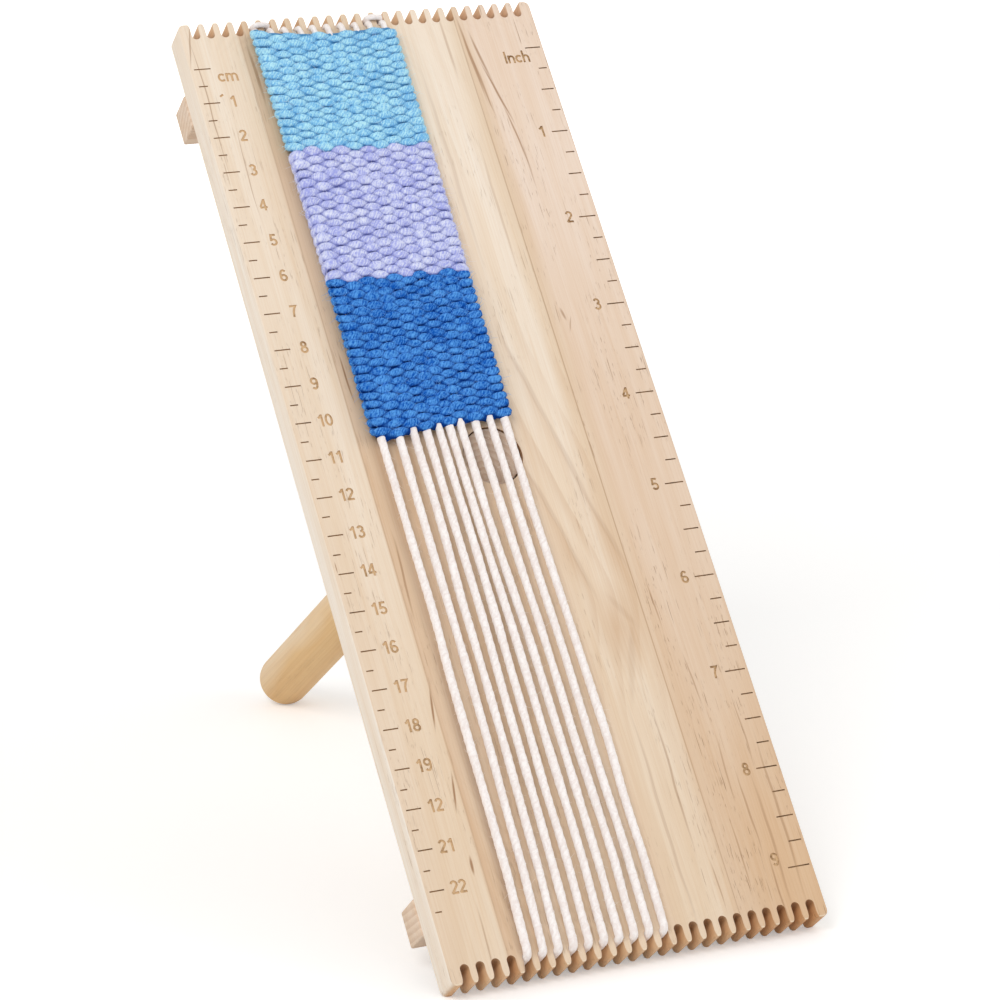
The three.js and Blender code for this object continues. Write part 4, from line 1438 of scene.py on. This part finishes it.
def rounded(corners, step):
    """Points about one step apart along a line whose corners are rounded."""
    points = [np.array(corners[0][:3])]
    for i in range(1, len(corners) - 1):
        before, at, after = (np.array(corners[k][:3], float) for k in (i - 1, i, i + 1))
        into, away = before - at, after - at
        into_length, away_length = np.linalg.norm(into), np.linalg.norm(away)
        into, away = into / into_length, away / away_length
        turn = math.acos(np.clip(into @ away, -1, 1))
        bend = corners[i][3] / math.tan(turn / 2) if turn < math.pi - TOLERANCE else 0
        reach = min(bend, into_length * 0.48, away_length * 0.48)
        start, end = at + into * reach, at + away * reach
        pieces = max(2, int(math.ceil(np.linalg.norm(end - start) / step)) * 2)
        for t in np.arange(pieces + 1) / pieces:
            points.append((1 - t) ** 2 * start + 2 * t * (1 - t) * at + t * t * end)
    points.append(np.array(corners[-1][:3]))
    points = np.array(points)
    lengths = path_lengths(points)
    keep = np.concatenate([[True], np.diff(lengths) > TOLERANCE])
    points, lengths = points[keep], lengths[keep]
    spots = np.linspace(0, lengths[-1], int(lengths[-1] / step))
    return np.stack([np.interp(spots, lengths, points[:, k]) for k in range(3)], 1)


ROUTE_STEP = 0.75
corners = end_wrap(0, 1)
for run in range(RUNS):
    order = front_run(run) if run % 2 == 0 else front_run(run)[::-1]
    corners += order[1:] if run == 0 else order
corners += end_wrap(LAST, -1)[::-1][1:]
route = rounded(corners, ROUTE_STEP)
print(f"warp: {path_lengths(route)[-1] / 1000:.2f} m of yarn")


# %% Twisted yarn
COTTON_SIDES = 15
COTTON_PLIES = 3
COTTON_SPACING = 2.6
STRAND_RELIEF = 0.045


def twisted_skin(points, radius):
    """Rings of points round a path, for a round yarn of three strands. radius is one number per point."""
    tangent = in_unit(np.gradient(points, axis=0))
    normals = np.zeros_like(points)
    normal = np.cross(tangent[0], (0, 0, 1.0))
    for i, direction in enumerate(tangent):
        normal = normal - direction * (normal @ direction)
        normal /= np.linalg.norm(normal)
        normals[i] = normal
    sideways = np.cross(tangent, normals)
    angles = np.arange(COTTON_SIDES) * 2 * math.pi / COTTON_SIDES
    twist = 2 * math.pi * path_lengths(points)[:, None] / COTTON_SPACING
    lobes = (1 + STRAND_RELIEF * np.cos(COTTON_PLIES * angles - twist)) * radius[:, None]
    skin = points[:, None] + normals[:, None] * (np.cos(angles) * lobes)[..., None]
    return skin + sideways[:, None] * (np.sin(angles) * lobes)[..., None]


def smooth_noise(lengths, spacing, spread):
    """A random value along a path that changes gently, with one fresh value every spacing millimetres."""
    knots = np.arange(0, lengths[-1] + 2 * spacing, spacing)
    values = np.interp(lengths, knots, rng.normal(0, spread, len(knots)))
    window = max(3, int(spacing / ROUTE_STEP / 1.5) | 1)
    return np.convolve(np.pad(values, window // 2, mode="edge"), np.ones(window) / window, mode="valid")


# %% [markdown]
# ## How the warp lies
# Where it is free, the yarn wanders a little to the sides and isn't equally thick. Inside the weaving, where
# no one sees it, it is thinner, so that none of it comes through the wool. At the top the slots press it
# narrower.

# %% Warp's place and thickness
CLOTH_HIGH = 247.0
EDGE_LAP = 0.6
FREE_LOW, FREE_HIGH, FREE_FADE = 9, 131, 12
WANDER, WANDER_SPACING = 0.13, 16
UNEVEN, UNEVEN_SPACING = 0.05, 5
HIDDEN_THINNING = 0.6
PRESSED_RADIUS = 0.74
PRESSED_FADE = 2
low_run = np.interp(route[:, 0], PLACES[CLOTH_FROM], range(RUNS))
cloth_low = edge_height("blue", (low_run + 0.5) / RUNS) + EDGE_LAP
lengths = path_lengths(route)
high, on_front = route[:, 2], route[:, 1] < 0
hidden = np.clip(np.minimum(high - cloth_low, CLOTH_HIGH - high), 0, 1) * on_front
free = np.clip(np.minimum(high - FREE_LOW, FREE_HIGH - high) / FREE_FADE, 0, 1) * on_front
pressed = np.clip((high - CLOTH_HIGH) / PRESSED_FADE, 0, 1) * np.clip(BEHIND + 1 - route[:, 1], 0, 1)
route[:, 0] += smooth_noise(lengths, WANDER_SPACING, WANDER) * free
radius = YARN_RADIUS * (1 + smooth_noise(lengths, UNEVEN_SPACING, UNEVEN)) * (1 - HIDDEN_THINNING * hidden)
radius *= 1 - (1 - PRESSED_RADIUS / YARN_RADIUS) * pressed
print(f"warp yarn: {radius.min():.2f} to {radius.max():.2f} mm in radius")

# %% Warp on the loom
COTTON_HAIRS = 2600
COTTON_REACH = 1.1
white, soft_white = srgb(255, 250, 248), srgb(243, 233, 229)


def on_open_warp(points, outward):
    """True on the front of the warp, below and above the weaving."""
    return (points[:, 1] < 0) & ((points[:, 2] < 136) | (points[:, 2] > 250))


skin = twisted_skin(route, radius)
finish = yarn_finish("white_cotton", white, soft_white, COTTON_PLIES, COTTON_SPACING, 0.07, 0.16)
warp = swept("warp_yarn", skin, path_lengths(route), finish)
finish = fuzz_finish("cotton_hair", white, soft_white)
warp_fuzz = add_fuzz("warp_fuzz", skin, COTTON_HAIRS, COTTON_REACH, finish, on_open_warp)
for piece in (warp, warp_fuzz):
    lean_back(piece)
    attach(piece, "loom_frame")
    report(piece)
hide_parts("warp")

# %% Finish
print("all pieces built")
